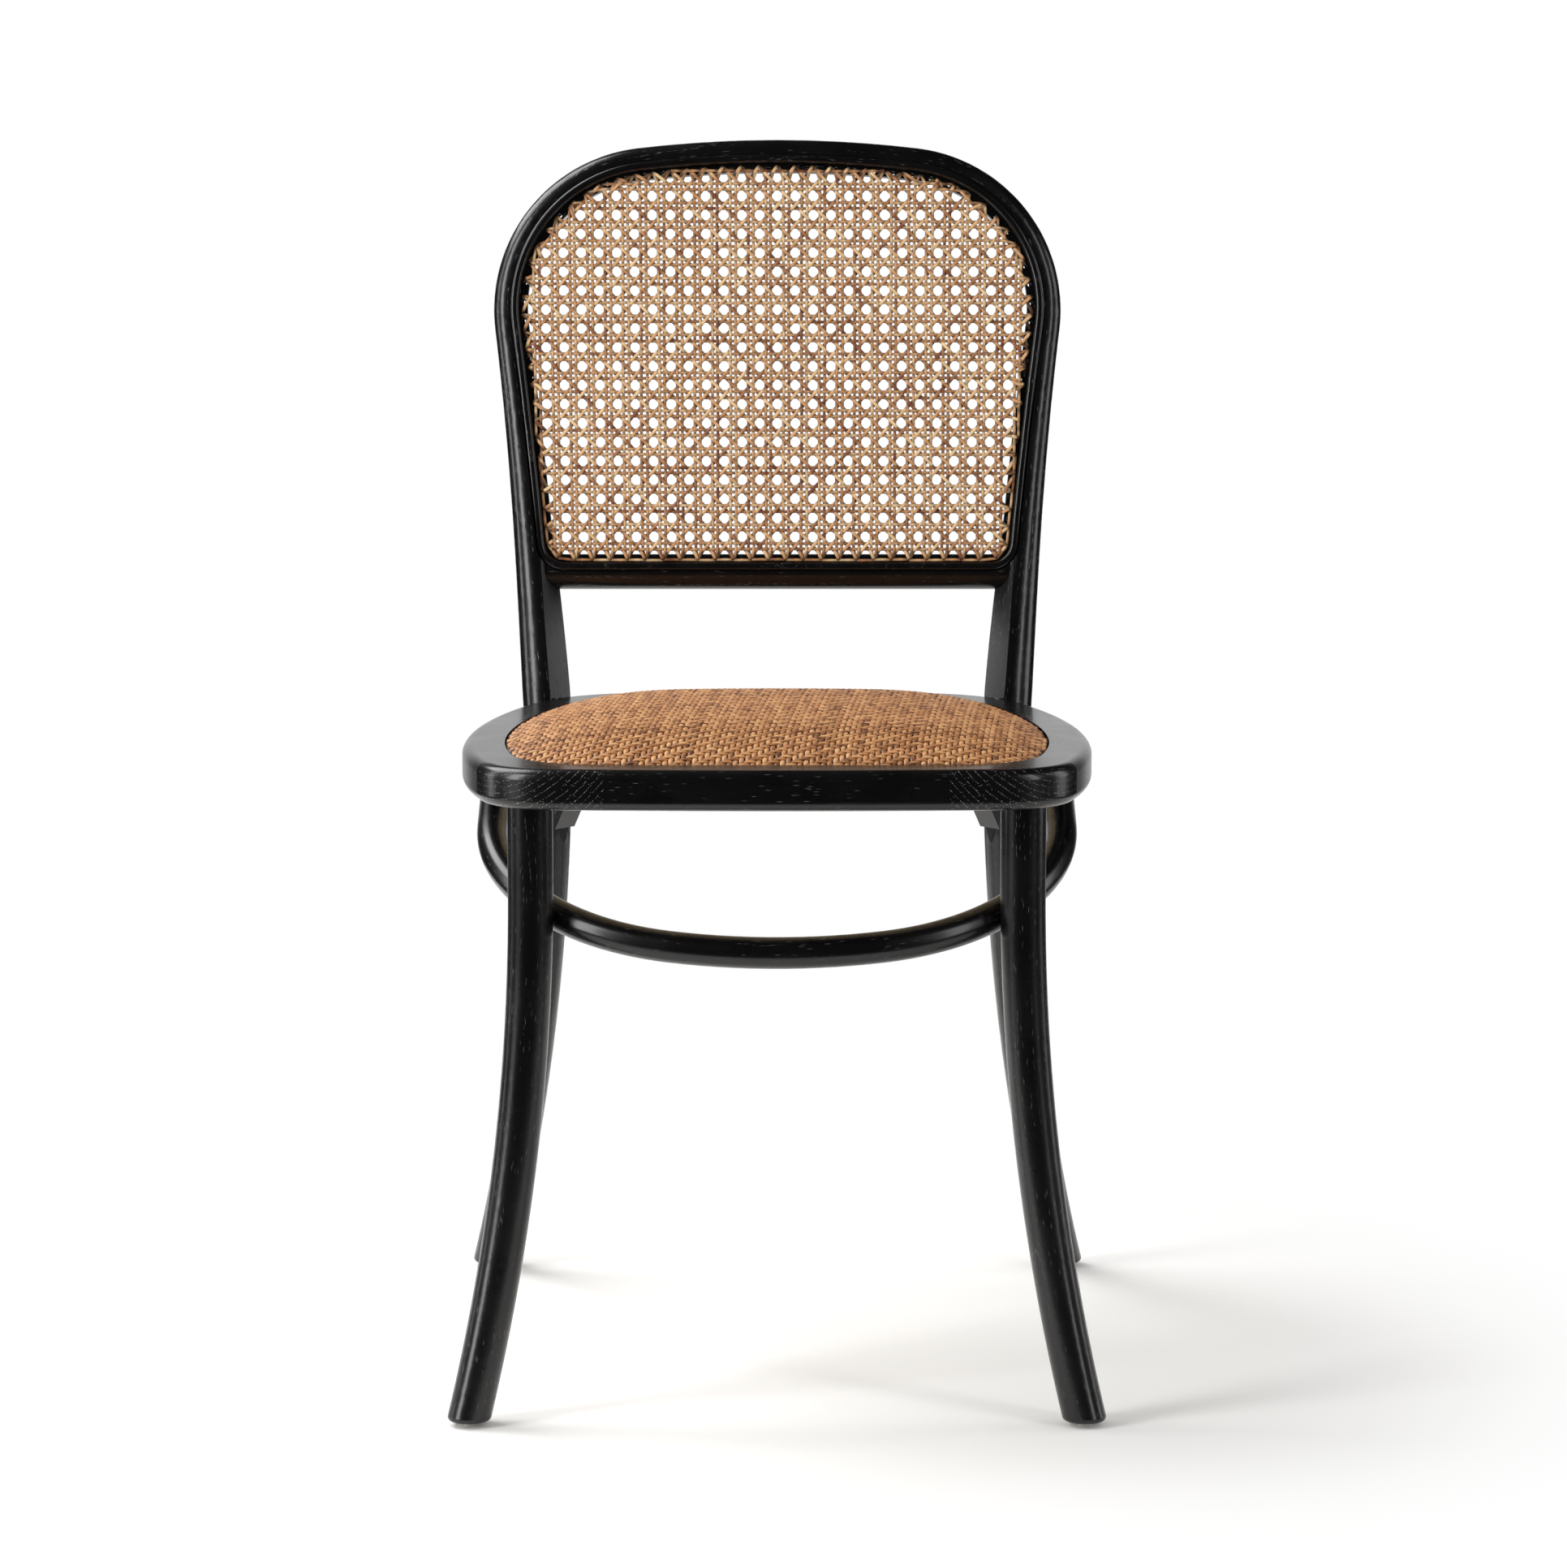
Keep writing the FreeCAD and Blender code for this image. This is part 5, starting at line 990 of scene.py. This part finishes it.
class CHAIR_OT_seat_weave(bpy.types.Operator):
    """Weave the seat's cane as a two-over-two twill over its crown"""
    bl_idname = "chair.seat_weave"
    bl_label = "Seat weave"

    def execute(self, context):
        sizes = context.scene.chair_sizes
        pitch, width = sizes.seat_pitch / MM, sizes.seat_strand / MM
        thick = sizes.seat_strand_thick / MM
        form, edge = SeatForm(INSERT_GAP), SeatForm(INSERT_GAP + 1.2)
        random = np.random.default_rng(5)
        skew = math.tan(math.radians(4.0))
        half = pitch / 2
        # Enough crossings and strands to reach past the ring on every side
        steps = np.arange(-104, 105)
        lift = 0.5 * thick
        warps, wefts = [], []
        for k in range(-56, 57):
            y = SEAT_MIDDLE + steps * half
            x = k * pitch + (y - SEAT_MIDDLE) * skew + random.normal(0, 0.09)
            wave = lift * twill_wave(steps - 2 * k)
            warps.append(seat_strand(form, edge, np.stack([x, y], 1), wave,
                                     width * random.uniform(0.96, 1.03), thick, random.random()))
        for r in range(-50, 51):
            x = steps * half + r * pitch * skew
            y = np.full(len(x), SEAT_MIDDLE + r * pitch + random.normal(0, 0.08))
            wave = -lift * twill_wave(2 * r - steps)
            wefts.append(seat_strand(form, edge, np.stack([x, y], 1), wave,
                                     width * random.uniform(0.96, 1.03), thick, random.random()))
        mid = tuple(context.scene.chair_colours.seat)
        material = rattan_cane("woven_rattan_peel", SEAT_LIGHT, mid, SEAT_DARK, SEAT_DARK, 0.34,
                               0.5, 0.14)
        for name, strands in (("seat_warps", warps), ("seat_wefts", wefts)):
            strands = [s for s in strands if s is not None]
            dress(ribbons(name, material, strands, HALF_ROUND), "seat_weave")
        return {"FINISHED"}


# The pad: its flat base, its depth under the crown and at its edge, and its top's rings
PAD_BASE, UNDER_WEAVE, UNDER_EDGE = 449.3, 2.9, 4.2
PAD_RINGS = (0.12, 0.28, 0.44, 0.58, 0.7, 0.8, 0.88, 0.94, 0.975)


def ring_faces(rows, count):
    """Faces between rings of points, and to a point over the first and one under the last."""
    turns = [(n, (n + 1) % count) for n in range(count)]
    last, head = (rows - 1) * count, rows * count
    faces = [(row * count + n, (row + 1) * count + n, (row + 1) * count + m, row * count + m)
             for row in range(rows - 1) for n, m in turns]
    for n, m in turns:
        faces += [(head, n, m), (last + m, last + n, head + 1)]
    return faces


class CHAIR_OT_seat_pad(bpy.types.Operator):
    """Shape the foam pad under the weave, in its lining"""
    bl_idname = "chair.seat_pad"
    bl_label = "Seat pad"

    def execute(self, context):
        form = SeatForm(INSERT_GAP)
        outline = mouth_outline(INSERT_GAP + 2.4)
        turn = np.linspace(0, len(outline), 181)[:-1].astype(int)
        rim = outline[turn] - [0, SEAT_MIDDLE]
        rows = []
        for share in PAD_RINGS:
            x, y = (rim * share + [0, SEAT_MIDDLE]).T
            rows.append(np.stack([x, y, form.height(x, y) - UNDER_WEAVE], 1))
        x, y = (rim * 0.995 + [0, SEAT_MIDDLE]).T
        top = form.height(x, y) - UNDER_EDGE
        rows.append(np.stack([x, y, top], 1))
        x, y = (rim + [0, SEAT_MIDDLE]).T
        rows.append(np.stack([x, y, (top + PAD_BASE) / 2], 1))
        for share, lift in ((0.994, 0.6), (0.98, 0.0), (0.6, 0.0), (0.2, 0.0)):
            x, y = (rim * share + [0, SEAT_MIDDLE]).T
            rows.append(np.stack([x, y, np.full(len(x), PAD_BASE + lift)], 1))
        crown = form.height(0.0, SEAT_MIDDLE) - UNDER_WEAVE
        points = np.vstack(rows + [[[0, SEAT_MIDDLE, crown]], [[0, SEAT_MIDDLE, PAD_BASE]]])
        pad = mesh_object("seat_foam", points * MM, ring_faces(len(rows), len(rim)),
                          lining_cloth())
        dress(pad, "seat_pad")
        return {"FINISHED"}


class CHAIR_OT_hidden_wood(bpy.types.Operator):
    """Finish the plywood seat board and the ring's dowels"""
    bl_idname = "chair.hidden_wood"
    bl_label = "Board and dowels"

    def execute(self, context):
        finish_node("seat_board", birch_plywood())
        finish_node("ring_dowels", beech_dowel())
        return {"FINISHED"}


class CHAIR_OT_hardware(bpy.types.Operator):
    """Finish the screws, bolts, washers and nuts"""
    bl_idname = "chair.hardware"
    bl_label = "Hardware"

    def execute(self, context):
        steel = plated_steel()
        for node in ("seat_board_screws", "cane_frame_screws", "hoop_leg_screws",
                     "hoop_ring_screws", "rear_post_bolts", "rear_post_washers",
                     "rear_post_nuts"):
            finish_node(node, steel)
        return {"FINISHED"}


class CHAIR_OT_glides(bpy.types.Operator):
    """Finish the floor glides"""
    bl_idname = "chair.glides"
    bl_label = "Floor glides"

    def execute(self, context):
        finish_node("floor_glides", moulded_glide())
        return {"FINISHED"}


# Stage

# Each lamp's name, place, target, width and height in metres, and power in watts
LAMPS = (
    ("key_left", (-2.5, -1.45, 1.5), (0, 0, 0.5), 0.9, 2.6, 66),
    ("side_left", (-2.7, 0.42, 0.9), (0, 0.1, 0.5), 0.5, 1.8, 13),
    ("top_left", (-1.5, 0.7, 2.3), (0, 0, 0.4), 1.6, 1.6, 52),
    ("strip_right", (2.3, -1.8, 1.5), (0, 0, 0.5), 0.5, 2.4, 20),
    ("side_right", (2.7, 0.35, 1.0), (0, 0, 0.5), 0.9, 2.0, 15),
)
FLOOR_CORNERS = np.array([[-1.2, -0.8, 0], [1.2, -0.8, 0], [1.2, 1.4, 0], [-1.2, 1.4, 0]])
CAMERA_PLACE, CAMERA_DOWN, CAMERA_LENS = (0.00463, -3.7858, 0.97883), 0.147841, 120.93


def area_lamp(name, place, target, width, height, power):
    """A soft rectangular lamp that looks at a target."""
    lamp = bpy.data.lights.new(name, "AREA")
    lamp.shape = "RECTANGLE"
    lamp.size, lamp.size_y = width, height
    lamp.energy = power
    thing = bpy.data.objects.new(name, lamp)
    thing.location = place
    aim = Vector(target) - Vector(place)
    thing.rotation_euler = aim.to_track_quat("-Z", "Y").to_euler()
    bpy.context.scene.collection.objects.link(thing)


def white_paper(colour):
    """Matt background paper, which fades to plain white 0.32 to 0.7 m from the chair's middle."""
    material, tree, shader = new_material("white_background_paper")
    shader.inputs["Base Color"].default_value = (*colour, 1.0)
    shader.inputs["Roughness"].default_value = 0.9
    output = next(n for n in tree.nodes if n.type == "OUTPUT_MATERIAL")
    white = add(tree, "Emission", {"Strength": 1.0})
    place = add(tree, "TexCoord").outputs["Object"]
    away = add(tree, "VectorMath", {"operation": "LENGTH"}, _0=place)
    fade = add(tree, "MapRange", {"interpolation_type": "SMOOTHSTEP", 1: 0.32, 2: 0.7},
               _0=away.outputs["Value"])
    seen = add(tree, "LightPath")
    part = add(tree, "Math", {"operation": "MULTIPLY"}, _0=fade.outputs[0],
               _1=seen.outputs["Is Camera Ray"])
    mixed = add(tree, "MixShader", None, Fac=part.outputs[0], _1=shader.outputs[0],
                _2=white.outputs[0])
    tree.links.new(mixed.outputs[0], output.inputs["Surface"])
    return material


def studio_air():
    """The world: a white paper sweep behind the chair, and a dark room in front of it.

    Gloss mirrors that room, matt surfaces get an even fill, and the camera sees plain white."""
    world = bpy.data.worlds.new("studio_air")
    world.use_nodes = True
    tree = world.node_tree
    tree.nodes.clear()
    output = tree.nodes.new("ShaderNodeOutputWorld")
    heading = add(tree, "SeparateXYZ", None, Vector=add(tree, "TexCoord").outputs["Generated"])
    sweep = add(tree, "MapRange", {"interpolation_type": "SMOOTHSTEP", 1: 0.86, 2: 0.985,
                                   3: 0.005, 4: 1.0}, _0=heading.outputs["Y"])
    ceiling = add(tree, "MapRange", {"interpolation_type": "SMOOTHSTEP", 1: 0.55, 2: 0.9,
                                     3: 1.0, 4: 0.2}, _0=heading.outputs["Z"])
    shine = add(tree, "Math", {"operation": "MULTIPLY"}, _0=sweep.outputs[0],
                _1=ceiling.outputs[0])
    room = add(tree, "Background", None, Strength=shine.outputs[0])
    fill = add(tree, "Background", {"Strength": 0.5})
    white = add(tree, "Background", {"Strength": 1.0})
    for node in (room, fill, white):
        node.inputs["Color"].default_value = (1, 1, 1, 1)
    seen = add(tree, "LightPath")
    soft = add(tree, "MixShader", None, Fac=seen.outputs["Is Glossy Ray"],
               _1=fill.outputs[0], _2=room.outputs[0])
    mixed = add(tree, "MixShader", None, Fac=seen.outputs["Is Camera Ray"],
                _1=soft.outputs[0], _2=white.outputs[0])
    tree.links.new(mixed.outputs[0], output.inputs["Surface"])
    return world


class CHAIR_OT_stage(bpy.types.Operator):
    """Set the floor, the light and the camera of the studio"""
    bl_idname = "chair.stage"
    bl_label = "Studio"

    def execute(self, context):
        scene = context.scene
        floor = mesh_object("floor", FLOOR_CORNERS, [(0, 1, 2, 3)],
                            white_paper(tuple(scene.chair_colours.floor)), smooth=False)
        scene.world = studio_air()
        for lamp in LAMPS:
            area_lamp(*lamp)
        camera = bpy.data.cameras.new("camera")
        camera.lens = CAMERA_LENS
        camera.sensor_width = 36
        camera.clip_end = 60
        thing = bpy.data.objects.new("camera", camera)
        thing.location = CAMERA_PLACE
        thing.rotation_euler = (math.pi / 2 - CAMERA_DOWN, 0, 0)
        scene.collection.objects.link(thing)
        scene.camera = thing
        scene.view_settings.view_transform = "Standard"
        return {"FINISHED"}


class CHAIR_PT_panel(bpy.types.Panel):
    """Lists the chair's sizes, colours and building steps"""
    bl_idname = "CHAIR_PT_panel"
    bl_label = "Bistro chair"
    bl_space_type = "VIEW_3D"
    bl_region_type = "UI"
    bl_category = "Chair"

    def draw(self, context):
        column = self.layout.column()
        for group in (context.scene.chair_sizes, context.scene.chair_colours):
            for key in group.__annotations__:
                column.prop(group, key)
        for operator in OPERATORS:
            column.operator(operator.bl_idname)


OPERATORS = (CHAIR_OT_bent_wood, CHAIR_OT_sawn_wood, CHAIR_OT_back_cane, CHAIR_OT_seat_weave,
             CHAIR_OT_seat_pad, CHAIR_OT_hidden_wood, CHAIR_OT_hardware, CHAIR_OT_glides,
             CHAIR_OT_stage)
CLASSES = (ChairSizes, ChairColours, *OPERATORS, CHAIR_PT_panel)


def register():
    for item in CLASSES:
        bpy.utils.register_class(item)
    bpy.types.Scene.chair_sizes = bpy.props.PointerProperty(type=ChairSizes)
    bpy.types.Scene.chair_colours = bpy.props.PointerProperty(type=ChairColours)


def unregister():
    del bpy.types.Scene.chair_colours
    del bpy.types.Scene.chair_sizes
    for item in reversed(CLASSES):
        bpy.utils.unregister_class(item)


def main():
    register()
    bpy.ops.chair.bent_wood()
    bpy.ops.chair.sawn_wood()
    bpy.ops.chair.back_cane()
    bpy.ops.chair.seat_weave()
    bpy.ops.chair.seat_pad()
    bpy.ops.chair.hidden_wood()
    bpy.ops.chair.hardware()
    bpy.ops.chair.glides()
    bpy.ops.chair.stage()


if __name__ == "__main__":
    main()
